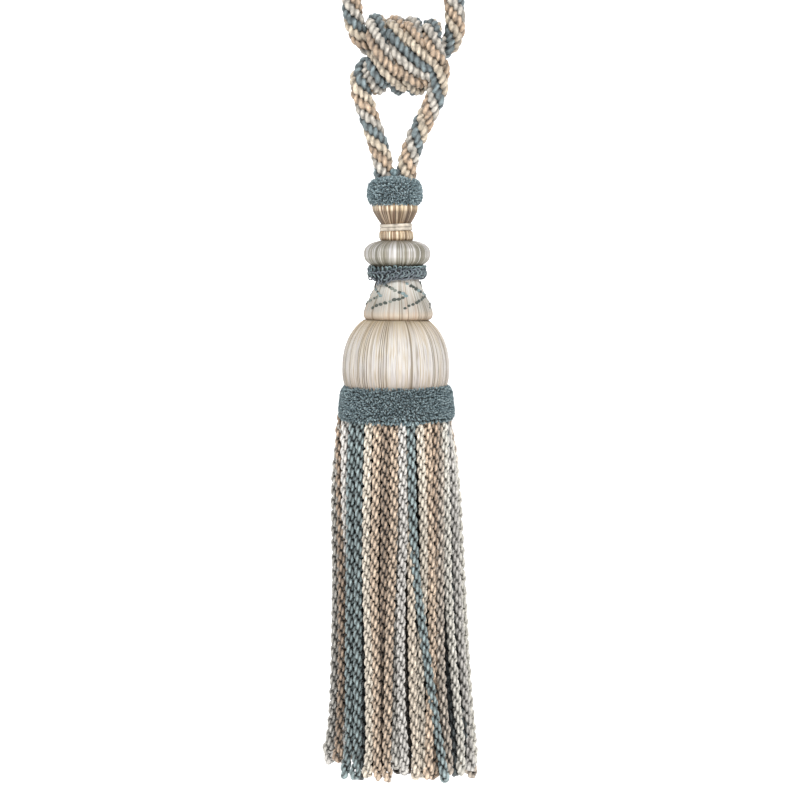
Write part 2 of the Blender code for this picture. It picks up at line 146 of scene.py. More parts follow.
def joinTubes(name, tubes, material):
    # one mesh of many tubes, with a map along each and its yarn's colour, multiplied by painted shade deep in
    # the grooves between yarns and by any painted light or shade (lift) the tube brings
    verts, faces, uvs, tints, base = [], [], [], [], 0
    for tube in tubes:
        verts.append(tube["verts"])
        faces += (tube["quads"] + base).tolist() + [[base + v for v in end] for end in tube["ends"]]
        uvs.append(tube["uvs"])
        uvs.append(np.zeros((sum(len(end) for end in tube["ends"]), 2)))
        tint, crest = np.array(tube["tint"]), tube.get("crest", np.ones(len(tube["verts"])))[:, None]
        middle = tint.mean() * tube.get("pale", 1.0)    # the painted groove shade is darkest between dark yarns
        groove = min(grooves["most"], grooves["least"] + tube.get("grooves", grooves["rise"]) * middle ** 3)
        seen = tint * (crest + (1 - crest) * groove) * tube.get("lift", 1.0)
        tints.append(np.column_stack([seen, np.full(len(seen), tube.get("number", 0.0))]))
        base += len(tube["verts"])
    mesh = bpy.data.meshes.new(name)
    mesh.from_pydata(np.concatenate(verts).tolist(), [], faces)
    setMeshData(mesh.uv_layers.new(name="yarnMap"), "uv", np.concatenate(uvs))
    setMeshData(mesh.attributes.new("yarnTint", "FLOAT_COLOR", "POINT"), "color", np.concatenate(tints))
    mesh.shade_smooth()
    mesh.materials.append(material)
    piece = bpy.data.objects.new(name, mesh)
    scene.collection.objects.link(piece)
    return piece


def settle(piece, nodes):
    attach(piece, "root")
    if nodes:
        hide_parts(*nodes)


def feed(tree, socket, value):
    # an input is linked to a node's output or set to a value of its own
    if isinstance(value, bpy.types.NodeSocket):
        tree.links.new(value, socket)
    elif value is not None:
        socket.default_value = value


def addNode(tree, kind, inputs=None, **settings):
    node = tree.nodes.new(kind)
    for key, value in settings.items():
        setattr(node, key, value)
    for key, value in (inputs or {}).items():
        feed(tree, node.inputs[key], value)
    return node


def mathNode(tree, operation, a, b=None, clamp=False):
    return addNode(tree, "ShaderNodeMath", {0: a, 1: b}, operation=operation, use_clamp=clamp).outputs[0]


def mixColour(tree, share, a, b, blend="MIX"):
    a, b = ((*value, 1.0) if isinstance(value, tuple) else value for value in (a, b))
    mix = addNode(tree, "ShaderNodeMix", {0: share, 6: a, 7: b}, data_type="RGBA", blend_type=blend)
    return mix.outputs[2]


def shaded(tree, base, shade):
    # a colour made brighter or darker by a number
    grey = addNode(tree, "ShaderNodeCombineColor", {0: shade, 1: shade, 2: shade})
    return mixColour(tree, 1.0, base, grey.outputs[0], "MULTIPLY")


def humps(tree, operation, value):
    # 1 at each whole number and 0 halfway for COSINE, the other way about for SINE
    return mathNode(tree, "ABSOLUTE", mathNode(tree, operation, mathNode(tree, "MULTIPLY", value, math.pi)))


def ownNumber(tree, index):
    return addNode(tree, "ShaderNodeTexWhiteNoise", {"W": index}, noise_dimensions="1D").outputs["Value"]


def addBump(tree, height, distance, below=None):
    return addNode(tree, "ShaderNodeBump", {
        "Strength": 1.0, "Distance": distance, "Height": height, "Normal": below}).outputs[0]


def addNoise(tree, vector, scale, detail=2.0):
    return addNode(tree, "ShaderNodeTexNoise", {
        "Vector": vector, "Scale": scale, "Detail": detail}).outputs["Fac"]


def newGroup(name, vector, numbers, results):
    group = bpy.data.node_groups.new(name, "ShaderNodeTree")
    group.interface.new_socket(vector, in_out="INPUT", socket_type="NodeSocketVector")
    for label, value in numbers.items():
        socket = group.interface.new_socket(label, in_out="INPUT", socket_type="NodeSocketFloat")
        socket.default_value = value
    for label in results:
        group.interface.new_socket(label, in_out="OUTPUT", socket_type="NodeSocketFloat")
    return group, group.nodes.new("NodeGroupInput"), group.nodes.new("NodeGroupOutput")


def makeStrandGroup():
    # a strand's yarns: Ridge is 1 on a yarn and 0 between two, Thread its fine threads,
    # Own a number for each yarn
    group, given, result = newGroup(
        "strandYarns", "Map", {"Number": 0.0, "Yarns": 2.0, "Threads": 15.0, "Slant": 0.0030},
        ("Ridge", "Thread", "Own"))
    split = addNode(group, "ShaderNodeSeparateXYZ", {0: given.outputs["Map"]})
    u, v = split.outputs[0], split.outputs[1]
    across = mathNode(group, "MULTIPLY", u, given.outputs["Yarns"])
    lines = mathNode(group, "ADD", mathNode(group, "MULTIPLY", u, given.outputs["Threads"]),
                     mathNode(group, "DIVIDE", v, given.outputs["Slant"]))
    index = mathNode(group, "MODULO", mathNode(group, "FLOOR", mathNode(group, "ADD", across, 0.5)),
                     given.outputs["Yarns"])
    seed = mathNode(group, "ADD", index, mathNode(group, "MULTIPLY", given.outputs["Number"], 37.0))
    feed(group, result.inputs["Ridge"], mathNode(group, "POWER", humps(group, "COSINE", across), 0.55))
    feed(group, result.inputs["Thread"], humps(group, "SINE", lines))
    feed(group, result.inputs["Own"], ownNumber(group, seed))
    return group


strandGroup = makeStrandGroup()


def scaled(tree, value, low, high):
    # a value from 0 to 1 brought to the range from low to high
    return mathNode(tree, "ADD", mathNode(tree, "MULTIPLY", value, high - low), low)


def newMaterial(name, roughness, specular, sheen=0.0):
    material = bpy.data.materials.new(name)
    material.use_nodes = True
    shader = material.node_tree.nodes["Principled BSDF"]
    for label, value in (("Roughness", roughness), ("Specular IOR Level", specular), ("Sheen Weight", sheen),
                         ("Sheen Roughness", 0.4)):
        shader.inputs[label].default_value = value
    return material, material.node_tree, shader


def strandMaterial(name, look):
    material, tree, shader = newMaterial(name, look["roughness"], look["specular"], look["sheen"])
    tint = addNode(tree, "ShaderNodeAttribute", attribute_name="yarnTint")
    strand = addNode(tree, "ShaderNodeGroup", {
        "Map": addNode(tree, "ShaderNodeUVMap", uv_map="yarnMap").outputs[0], "Number": tint.outputs["Alpha"],
        "Yarns": 2.0, "Threads": look["threads"], "Slant": look["slant"]}, node_tree=strandGroup)
    place = addNode(tree, "ShaderNodeTexCoord").outputs["Object"]
    shade = scaled(tree, addNoise(tree, place, look["patchScale"], 3.0), *look["patch"])
    # the groove range paints shade between yarns; the patches, each yarn's Own number and the fine threads
    # are the yarns' own tone
    ranges = {"Own": look["own"], "Ridge": (look["groove"], 1.0), "Thread": (look["thread"], 1.0)}
    for label, ends in ranges.items():
        shade = mathNode(tree, "MULTIPLY", shade, scaled(tree, strand.outputs[label], *ends))
    # a pale yarn shows this shading less, the painted groove shade and its own patches alike
    shade = mathNode(tree, "POWER", shade, mathNode(tree, "SUBTRACT", 1.3, tint.outputs["Fac"]))
    feed(tree, shader.inputs["Base Color"], shaded(tree, tint.outputs["Color"], shade))
    normal = addBump(tree, strand.outputs["Ridge"], look["yarnBump"])
    feed(tree, shader.inputs["Normal"], addBump(tree, strand.outputs["Thread"], look["threadBump"], normal))
    return material


view = {"place": (0.0016, -1.35, -0.1577), "downwards": 3.7, "lens": 135.6, "sensor": 36.0}


def setCamera():
    data = bpy.data.cameras.new("camera")
    data.lens, data.sensor_width = view["lens"], view["sensor"]
    data.clip_start = 0.05
    camera = bpy.data.objects.new("camera", data)
    camera.location = view["place"]
    camera.rotation_euler = (math.radians(90 - view["downwards"]), 0, 0)
    scene.collection.objects.link(camera)
    return camera


bpy.context.scene.camera = setCamera()
print("camera set")

# The furnishing rope: four strands, one of them teal
rope = {
    "diameter": 0.0092,
    "strandCentre": 0.00260,
    "strandRadius": 0.00224,
    "pitch": 0.0245,
    "knotPitch": 0.0230,
    "step": 0.00055,
    "strands": ["ropeTeal", "ropeWhite", "ropeTan", "ropeCream"],
    "yarnPitch": 0.0065,
    "section": yarnProfile(2, 12, 0.38),
    "heartRadius": 0.0017,
    "heart": (0.16, 0.125, 0.09),
    "crests": (0.0028, 0.0045),    # distances from the axis, deep in a groove and on a crest
    "light": {"pale": 1.35, "grooves": 3.2},
}
# The routes of the rope's middle line, in mm
loopRoute = inMetres([
    (-8.6, 2.7, -87.2), (-12.5, 2.7, -86.4), (-16, 2.3, -82.8), (-18.3, 1.6, -77.8),
    (-19.5, 0.8, -71.8), (-19.9, 0, -64), (-20.3, 0, -50), (-19.6, 0, -35), (-17, 0, -18.5),
    (-12, 0, -5), (-6.2, 0, 2.4), (0.4, 0, 4.6), (7, 0, 2.8), (13.5, 0, -3.5), (19.4, 0, -15),
    (23.2, 0, -31), (24.9, 0, -48), (25.5, 0, -65), (26.2, 0.4, -74.5), (25.8, 1, -81.5),
    (23.6, 1.6, -86.1), (20, 2, -88.7), (15.8, 2.2, -89.5),
])
leftLegRoute = inMetres([
    (-5.5, 0.8, -157.7), (-5.5, 0.8, -151), (-5.5, 0.7, -144), (-6.3, 0.4, -137.5), (-8.3, 0, -130.3),
    (-10.6, -0.4, -123.2), (-13, -1, -116.1), (-15.2, -1.6, -109.3), (-16.3, -2.2, -104),
    (-15.5, -2.6, -99.3), (-12.7, -2.8, -96.2), (-8.6, -2.7, -95.2),
])
rightLegRoute = inMetres([
    (18.9, -13.1, -96), (19, -12.6, -100), (18.6, -11.2, -105), (17.1, -9.2, -110.5),
    (14.6, -7.2, -116), (12.1, -5.5, -121), (9.6, -4, -126), (7.7, -2.8, -130.8), (5.8, -1.8, -136.2),
    (4.8, -1.2, -140.7), (4.3, -0.9, -145), (4.1, -0.8, -151), (4.1, -0.8, -157.7),
])

# The slide knot: turns are counted from the top of the first wrap, + 0.25 in front, + 0.5
# underneath and + 0.75 behind; each row is (turn, place along X, distance from the axis)
knot = {"level": -0.0912, "coreRadius": 0.0109, "coreFrom": -0.0094, "coreTo": 0.0168,
        "coreShadeTone": (0.12, 0.09, 0.06), "parts": 24, "firstTurn": -0.75, "lastTurn": 3.25}
knotTurns = [
    (-1.0, -0.0095, 0.0012), (-0.5, -0.0083, 0.0131), (0.0, -0.0090, 0.0144), (0.5, 0.0013, 0.0131),
    (1.0, -0.0004, 0.0136), (1.5, 0.0088, 0.0136), (2.0, 0.0072, 0.0131), (2.5, 0.0166, 0.0131),
    (3.0, 0.0156, 0.0121), (3.5, 0.0208, 0.0137),
]


def knotPoint(turn):
    # a wrap hangs nearly straight in front and crosses to the next place low down
    half = math.floor(turn * 2)
    before, after = knotTurns[half + 2], knotTurns[half + 3]
    part = turn * 2 - half
    ease = part if half % 2 else min(1.0, max(0.0, (part - 0.25) / 0.75))
    ease = ease * ease * (3 - 2 * ease)
    place = before[1] + (after[1] - before[1]) * ease
    reach = before[2] + (after[2] - before[2]) * part * part * (3 - 2 * part)
    angle = turn * tau
    return (place, -reach * math.sin(angle), knot["level"] + reach * math.cos(angle))


def knotRoute():
    # the wound rope, down its last wrap and on into the right leg
    count = round((knot["lastTurn"] - knot["firstTurn"]) * knot["parts"])
    turns = np.arange(count + 1) / knot["parts"] + knot["firstTurn"]
    return [knotPoint(turn) for turn in turns] + rightLegRoute


def tealPhase(path, along, side, up, marks, pitch):
    # the angle of the teal strand along a rope, through marks (place on it, where teal faces)
    places, angles = [], []
    for place, facing, *rotations in marks:
        n = np.argmin(np.linalg.norm(path - np.array(place), axis=1))
        angle = math.atan2(np.dot(facing, up[n]), np.dot(facing, side[n]))
        if places:
            expected = angles[-1] - tau * (rotations[0] if rotations else (along[n] - places[-1]) / pitch)
            angle += tau * round((expected - angle) / tau)
        places.append(along[n])
        angles.append(angle)
    phase = np.interp(along, places, angles)
    before, after = along < places[0], along > places[-1]
    phase[before] = angles[0] + tau * (places[0] - along[before]) / pitch
    phase[after] = angles[-1] - tau * (along[after] - places[-1]) / pitch
    return phase


def ropeStrands(path, along, first, marks, pitch):
    side, up = carry(path, first)
    phase = tealPhase(path, along, side, up, marks, pitch)
    strands = []
    for number, yarn in enumerate(rope["strands"]):
        angle = phase + number * tau / len(rope["strands"])
        centre = path + rope["strandCentre"] * (np.cos(angle)[:, None] * side + np.sin(angle)[:, None] * up)
        run = lengthAlong(centre)
        uneven = 0.35 * np.sin(run * 330 + 2 * number) + 0.25 * np.sin(run * 790 + 5 * number)
        strands.append({"path": centre, "twist": run * tau / rope["yarnPitch"] + number + uneven,
                        "radius": rope["strandRadius"] * (1 + 0.05 * np.sin(run * 1150 + 3 * number)),
                        "tint": yarns[yarn], "number": number / 8 + 0.06, "first": first})
    return strands


def strandTubes(strands, path, start, stop):
    # the strands and, between them, the rope's heart
    middle = path[start:stop][::3]
    heart = sweep(middle, rope["heartRadius"], strands[0]["first"], np.ones(6))
    tubes = [{**heart, "tint": rope["heart"], "number": 0.9}]
    for strand in strands:
        tube = sweep(strand["path"][start:stop], strand["radius"][start:stop], strand["first"],
                     rope["section"], strand["twist"][start:stop])
        tube = addCrests(tube, path[start:stop], *rope["crests"])
        tubes.append({**tube, "tint": strand["tint"], "number": strand["number"], **rope["light"]})
    return tubes


ropeMaterial = strandMaterial("twistedRope", {
    "roughness": 0.45, "specular": 0.4, "sheen": 0.15, "threads": 21.0, "slant": 0.0050, "patchScale": 460.0,
    "patch": (-0.15, 2.15), "own": (0.78, 1.14), "groove": 0.46, "thread": 0.74, "yarnBump": 0.00020,
    "threadBump": 0.00004})
front = (0.0, -1.0, 0.0)
leftFront = (-0.45, -0.89, 0.0)

loopPath, loopAlong = smoothRoute(loopRoute, rope["step"])
loopStrands = ropeStrands(loopPath, loopAlong, (0.0, 0.0, 1.0), [
    ((-0.0188, 0.001, -0.0767), front), ((0.0243, 0.001, -0.0851), front)], rope["pitch"])
ropeLoop = joinTubes("RopeLoop", strandTubes(loopStrands, loopPath, 0, len(loopPath)), ropeMaterial)
settle(ropeLoop, ["rope_loop"])

leftPath, leftAlong = smoothRoute(leftLegRoute, rope["step"])
leftStrands = ropeStrands(leftPath, leftAlong, (1.0, 0.0, 0.0), [
    ((-0.0055, 0.0008, -0.1480), leftFront), ((-0.0101, 0.0, -0.1248), front),
    ((-0.0160, -0.002, -0.1015), front)], rope["pitch"])
ropeLegLeft = joinTubes("RopeLegLeft", strandTubes(leftStrands, leftPath, 0, len(leftPath)), ropeMaterial)
settle(ropeLegLeft, ["rope_leg_left"])

woundPath, woundAlong = smoothRoute(knotRoute(), rope["step"])
tealTurns = ((-0.62, 0), (0.03, 2), (0.52, 1), (1.205, 2), (1.55, 1), (2.305, 2), (3.035, 3))
woundMarks = [(knotPoint(turn), (0.0, -math.sin(turn * tau), math.cos(turn * tau)), rotations)
              for turn, rotations in tealTurns]
woundStrands = ropeStrands(woundPath, woundAlong, (1.0, 0.0, 0.0), woundMarks + [
    ((0.0183, -0.0105, -0.1068), front), ((0.0093, -0.004, -0.1270), front),
    ((0.0042, -0.0008, -0.1480), leftFront)], rope["knotPitch"])
split = int(np.argmin(np.linalg.norm(woundPath - np.array(rightLegRoute[0]), axis=1)))
woundTubes = strandTubes(woundStrands, woundPath, 0, split + 1)
# a dark core inside the wraps, coloured as painted shade between them
coreEnds = [(place, 0, knot["level"]) for place in (knot["coreFrom"], 0, knot["coreTo"])]
corePath = smoothRoute(coreEnds, 0.004)[0]
core = sweep(corePath, knot["coreRadius"], (0, 0, 1), np.ones(24))
woundTubes.append({**core, "tint": knot["coreShadeTone"], "number": 0.5})
slideKnot = joinTubes("SlideKnot", woundTubes, ropeMaterial)
settle(slideKnot, ["slide_knot"])
rightTubes = strandTubes(woundStrands, woundPath, split, len(woundPath))
ropeLegRight = joinTubes("RopeLegRight", rightTubes, ropeMaterial)
settle(ropeLegRight, ["rope_leg_right"])
print("rope, knot and legs made", round(float(loopAlong[-1]), 4), round(float(leftAlong[-1]), 4),
      round(float(woundAlong[split]), 4), round(float(woundAlong[-1] - woundAlong[split]), 4))


# How the skirt hangs, in mm: level, middle radius of the inner and the outer row, drift to the right
skirtShape = inMetres([
    (-244, 18.6, 20.4, 0), (-253, 19.4, 22.4, -0.2), (-261, 20.6, 24.8, -0.4), (-272, 21.9, 26.1, -0.3),
    (-330, 23.5, 27.8, 0.6), (-385, 25.2, 29.7, 2), (-416, 27.9, 33, 1.4),
])
# Cords seen from the front: yarn, place along X in mm and row (0 inner, 1 outer) at each of the levels,
# or one row for all of them, then place and level of the end in mm
cordLevels = (-256.7, -279.1, -303.0, -325.1, -356.1, -380.5, -395.8)
frontCords = [
    ("grey", (-24.6, -27.3, -27.5, -27.2, -27.7, -28.5, -29.8), (0.7, 1, 1, 1, 1, 1, 1), -31.4, -404.9),
    ("brown", (-25.3, -25.1, -24.7, -24.5, -24.3, -24.8, -25.7), 1, -26.2, -406.1),
    ("white", (-22.8, -22.8, -22.5, -22.3, -22.6, -22.6, -22.6), (1, 0.9, 0.6, 0.4, 0.4, 0.4, 0.4),
     -22.5, -409.7),
    ("teal", (-19.3, -20.3, -20.4, -20.6, -21.0, -21.0, -21.1), 1, -23.3, -412.6),
    ("teal", (-15.9, -16.4, -16.7, -16.9, -17.2, -17.2, -17.3), 1, -18.5, -412.3),
    ("slate", (-14.4, -14.8, -15.0, -15.3, -15.3, -15.3, -15.5), (0.3, 0.3, 0.2, 0.2, 0.2, 0.3, 0.4),
     -16.0, -412.8),
    ("cream", (-12.1, -12.9, -13.2, -13.2, -12.3, -12.0, -11.9), 1, -13.1, -411.0),
    ("tan", (-8.4, -8.9, -9.4, -9.8, -9.1, -8.9, -8.8), (1, 1, 1, 0.9, 0.75, 0.75, 0.9), -8.0, -411.7),
    ("brown", (-4.6, -4.9, -5.1, -5.4, -5.7, -5.9, -5.9), (1, 1, 1, 0.8, 0.2, 0.1, 0.2), -5.7, -409.0),
    ("tan", (-1.0, -1.0, -1.4, -2.1, -3.3, -3.7, -4.2), 1, -3.9, -412.1),
    ("grey", (0.7, 0.7, 0.3, 0.1, -0.2, -0.3, -0.4), (0.3, 0.3, 0.3, 0.3, 0.3, 0.4, 0.6), -0.3, -406.7),
    ("white", (2.5, 2.8, 3.1, 2.3, 1.9, 2.3, 3.3), 1, 3.6, -409.0),
    ("creamTan", (4.7, 5.4, 6.3, 6.6, 7.0, 7.6, 8.5), (0.2, 0.3, 0.6, 0.85, 1, 1, 1), 8.5, -411.0),
    ("teal", (6.3, 6.8, 7.5, 9.1, 13.2, 16.7, 18.9), (1, 1, 1.05, 1.12, 1.2, 1.2, 1.15), 21.8, -413.2),
    ("cream", (10.3, 11.3, 12.0, 12.0, 10.7, 10.9, 11.5), (1, 1, 1, 0.8, 0.6, 0.55, 0.6), 11.6, -410.9),
    ("tan", (13.7, 14.2, 14.9, 15.6, 15.6, 14.9, 14.4), (1, 0.75, 0.9, 1, 0.7, 0.9, 1), 14.0, -411.2),
    ("brown", (17.2, 16.5, 16.7, 17.2, 17.8, 18.1, 17.6), (1, 1, 0.8, 0.5, 0.5, 0.4, 0.4), 16.0, -412.0),
    ("taupe", (19.2, 19.4, 19.4, 19.3, 19.6, 20.9, 22.6), (0.6, 0.9, 1, 1, 1, 1, 0.95), 23.4, -410.6),
    ("ivoryGrey", (20.8, 21.8, 22.6, 23.0, 24.9, 27.1, 28.6), 1, 28.9, -411.8),
    ("slate", (21.6, 22.6, 23.4, 24.0, 24.5, 25.4, 25.8), (0.2, 0.2, 0.2, 0.2, 0.2, 0.2, 0.3), 26.4, -412.7),
    ("white", (22.5, 25.2, 26.4, 27.2, 29.1, 31.2, 32.8), 1, 33.5, -412.1),
    ("slate", (21.5, 23.6, 25.0, 26.2, 28.0, 29.6, 30.8), (0.8, 0.5, 0.4, 0.4, 0.4, 0.4, 0.4), 31.9, -411.8),
    ("ivoryGrey", (22.4, 26.5, 28.2, 29.3, 31.0, 32.7, 34.2), (0.8, 0.95, 1, 1, 1, 1, 1), 34.9, -409.8),
]
bullion = {
    "plyCentre": 0.00103,
    "plyRadius": 0.00141,
    "flatness": 0.83,           # a ply is pressed against its neighbour
    "pitch": 0.0122,
    "yarnPitch": 0.0055,
    "headSpread": 0.00138,      # how far the doubled cord opens at its folded end
    "headSwell": 1.20,
    "headLength": 0.0060,
    "frontStep": 0.00064,
    "backStep": 0.00090,
    "innerStep": 0.00150,
    "section": yarnProfile(2, 12, 0.40),
    "backSection": yarnProfile(2, 10, 0.36),
    "innerSection": yarnProfile(2, 6, 0.28),
    "paintedLightFrom": -0.302,        # painted light: the cords' tops are painted a little paler than the rest, where more light falls
    "paintedLightBy": 0.21,
    "behind": ((0.0, 0.40), (0.30, 0.66), (0.60, 1.0)),    # row of a cord, its share of the light
    "crests": (0.00125, 0.00218),
    "top": -0.2470,             # where the cords leave the tape, under the wide ruff
    "length": 0.165,
    "levels": (-0.2570, -0.2720, -0.3000, -0.3300, -0.3600, -0.3850),
    "backPitch": 8.2,           # degrees between cords at the back
    "backFrom": 2,
    "backSpan": 176,
    "backRadius": 0.033,
    "innerCords": 48,
    "innerRadius": 0.028,
    "innerRows": (-0.1, -0.7),
    "innerHigher": 0.004,
    "innerTone": (0.13, 0.48),  # in front, where little light gets in, and elsewhere
    "innerFront": 0.85,         # how far forward a cord stands that counts as in front
    "sway": 0.0011,
    "hem": -0.4100,
    "hemSlope": 0.003,          # how much lower the cords end at the right than in the middle
    "hemUneven": 0.0021,
}
backYarns = ["taupe", "tan", "cream", "teal", "teal", "white", "brown", "tan", "creamTan", "grey", "cream",
             "teal", "tan", "white", "slate", "taupe"]
innerYarns = ["tan", "slate", "creamTan", "grey", "brown", "teal", "cream", "taupe"]
rng = np.random.default_rng(20)


def skirtRow(level, row):
    # radius and drift of a row of cords at a level
    table = np.array(skirtShape)[::-1]
    inner, outer, drift = (np.interp(level, table[:, 0], table[:, k]) for k in (1, 2, 3))
    return inner + (outer - inner) * row, drift


def bullionCord(points, yarn, step, section, turn, tone=1.0, rows=None):
    # two strands laid round each other that are one cord, folded at the lower end
    path, along = smoothRoute(points, step)
    side, up = carry(path, (math.cos(turn), math.sin(turn), 0.0))
    total = along[-1]
    nearEnd = np.clip(1 - (total - along) / bullion["headLength"], 0, 1)
    head = bullion["headSpread"] * (1 + 0.25 * (rng.random() - 0.5))
    spread = bullion["plyCentre"] + (head - bullion["plyCentre"]) * nearEnd ** 2 * (3 - 2 * nearEnd)
    phase = -tau * along / bullion["pitch"] + 0.5 * np.sin(along * (90 + 60 * rng.random()))
    offset = spread[:, None] * (np.cos(phase)[:, None] * side + np.sin(phase)[:, None] * up)
    bend = np.linspace(0, math.pi, 9)[1:-1]
    tangent = unit(path[-1] - path[-2])
    fold = path[-1] + np.cos(bend)[:, None] * offset[-1] + np.sin(bend)[:, None] * tangent * spread[-1]
    line = np.concatenate([path + offset, fold, (path - offset)[::-1]])
    middle = np.concatenate([path, np.repeat(path[-1:], len(fold), axis=0), path[::-1]])
    twist = lengthAlong(line) * tau / bullion["yarnPitch"] + rng.random() * tau
    swell = 1 + (bullion["headSwell"] - 1) * nearEnd
    swell = np.concatenate([swell, np.full(len(fold), bullion["headSwell"]), swell[::-1]])
    tube = sweep(line, bullion["plyRadius"] * swell, (math.cos(turn), math.sin(turn), 0.3), section, twist,
                 (unit(line - middle), bullion["flatness"]))
    shade = 1 + 0.16 * (rng.random() - 0.5)
    tube = addCrests(tube, middle, *bullion["crests"])
    # painted light on the cords' tops, and painted shade, by the behind table, on cords that stand further
    # back
    paintedLightShare = np.clip((tube["verts"][:, 2:] - bullion["paintedLightFrom"]) / 0.030, 0, 1)
    lift = 1 + bullion["paintedLightBy"] * paintedLightShare
    if rows is not None:
        row = np.interp(-tube["verts"][:, 2], [-point[2] for point in points], rows)
        lift = lift * np.interp(row, *zip(*bullion["behind"]))[:, None]
    return {**tube, "tint": tuple(shade * tone * np.array(yarns[yarn])), "number": rng.random(), "lift": lift}


def frontCord(row):
    yarn, places, rows, endPlace, endLevel = row
    rows = (rows,) * len(cordLevels) if rows == 1 else rows
    shares = (rows[0], *rows, rows[-1])
    points = []
    for x, share, level in zip((places[0], *places, endPlace), shares, (-247.0, *cordLevels, endLevel)):
        radius, drift = skirtRow(level / 1000, share)
        x = x / 1000 if level < -250 else x / 1000 * 0.90
        off = min(abs(x - drift), radius * 0.999)
        points.append((x, -math.sqrt(radius ** 2 - off ** 2), level / 1000))
    # the folded end takes up the last of the length
    last = np.array(points[-1])
    before = np.array(points[-2])
    points[-1] = tuple(last - unit(last - before) * bullion["headSpread"] * 1.6)
    return points, yarn, shares


def ringCord(angle, share, end, sway):
    # a cord that hangs straight down and swings a little round the skirt, either way
    points, sway = [], sway * (rng.random() - 0.5) * 2
    for level in (bullion["top"], *bullion["levels"], end):
        radius, drift = skirtRow(level, share)
        fall = (bullion["top"] - level) / bullion["length"]
        turned = angle + sway * fall * fall
        points.append((drift + radius * math.cos(turned), radius * math.sin(turned), level))
    return points


def cordEnd(angle, higher=0.0):
    uneven = bullion["hemUneven"] * (rng.random() - 0.5) * 2
    return bullion["hem"] + higher - bullion["hemSlope"] * math.cos(angle) + uneven


bullionMaterial = strandMaterial("bullionCord", {
    "roughness": 0.46, "specular": 0.4, "sheen": 0.15, "threads": 15.0, "slant": 0.0040, "patchScale": 560.0,
    "patch": (0.05, 1.93), "own": (0.80, 1.14), "groove": 0.18, "thread": 0.84, "yarnBump": 0.00018,
    "threadBump": 0.00003})

for name, rows in (("FringeFrontLeft", frontCords[:12]), ("FringeFrontRight", frontCords[12:])):
    cords = []
    for row in rows:
        points, yarn, shares = frontCord(row)
        cords.append(bullionCord(points, yarn, bullion["frontStep"], bullion["section"], rng.random() * tau,
                                 rows=shares))
    settle(joinTubes(name, cords, bullionMaterial), ["skirt_fringe"])

cords = []
count = int(bullion["backSpan"] / bullion["backPitch"]) + 1
for n in range(count):
    angle = math.radians(bullion["backFrom"] + bullion["backSpan"] * n / (count - 1))
    points = ringCord(angle, 1.0, cordEnd(angle), bullion["sway"] / bullion["backRadius"])
    yarn = backYarns[n % len(backYarns)]
    cords.append(bullionCord(points, yarn, bullion["backStep"], bullion["backSection"], rng.random() * tau))
fringeBack = joinTubes("FringeBack", cords, bullionMaterial)
settle(fringeBack, ["skirt_fringe"])

cords = []
for n in range(bullion["innerCords"]):
    angle = tau * (n + 0.5) / bullion["innerCords"]
    end = cordEnd(angle, bullion["innerHigher"])
    points = ringCord(angle, bullion["innerRows"][n % 2], end, bullion["sway"] / bullion["innerRadius"])
    yarn = innerYarns[int(rng.integers(len(innerYarns)))]
    aside = min(1.0, max(0.0, 1 + math.sin(angle) / bullion["innerFront"]))
    dark, light = bullion["innerTone"]
    cords.append(bullionCord(points, yarn, bullion["innerStep"], bullion["innerSection"], rng.random() * tau,
                             dark + (light - dark) * aside))
fringeInner = joinTubes("FringeInner", cords, bullionMaterial)
settle(fringeInner, ["skirt_fringe"])
print("skirt made")


def colour(red, green, blue):
    # a colour as it is seen, 0 to 255, made linear
    return tuple(((value / 255 + 0.055) / 1.055) ** 2.4 for value in (red, green, blue))


def stops(*rows):
    # places or levels, each with its colour
    return [(place, colour(*tone)) for place, *tone in rows]


def addRamp(tree, value, rows):
    ramp = addNode(tree, "ShaderNodeValToRGB", {0: value})
    points = ramp.color_ramp.elements
    while len(points) < len(rows):
        points.new(0.5)
    for point, (place, tone) in zip(points, rows):
        point.position, point.color = place, (*tone, 1.0)
    return ramp.outputs[0]


def makeThreadGroup():
    # threads laid up and down over a turned shape: Round is 1 on a thread and 0 between two,
    # Thread and Shade are numbers for each thread, Drift changes slowly from thread to thread
    group, given, result = newGroup("laidThreads", "Place", {"Centre": 0.0, "Threads": 200.0, "Spread": 8.0},
                                    ("Round", "Thread", "Shade", "Drift", "Level"))
    split = addNode(group, "ShaderNodeSeparateXYZ", {0: given.outputs["Place"]})
    x, y, z = mathNode(group, "SUBTRACT", split.outputs[0], given.outputs["Centre"]), *split.outputs[1:]
    angle = mathNode(group, "ARCTAN2", y, x)
    turn = mathNode(group, "MULTIPLY", mathNode(group, "DIVIDE", angle, tau), given.outputs["Threads"])
    index = mathNode(group, "FLOOR", mathNode(group, "ADD", turn, 0.5))
    around = addNode(group, "ShaderNodeCombineXYZ", {
        0: mathNode(group, "COSINE", angle), 1: mathNode(group, "SINE", angle),
        2: mathNode(group, "MULTIPLY", z, 6.0)})
    feed(group, result.inputs["Round"], humps(group, "COSINE", turn))
    feed(group, result.inputs["Thread"], ownNumber(group, index))
    feed(group, result.inputs["Shade"], ownNumber(group, mathNode(group, "ADD", index, 501.0)))
    feed(group, result.inputs["Drift"], addNoise(group, around.outputs[0], given.outputs["Spread"]))
    feed(group, result.inputs["Level"], z)
    return group


threadGroup = makeThreadGroup()


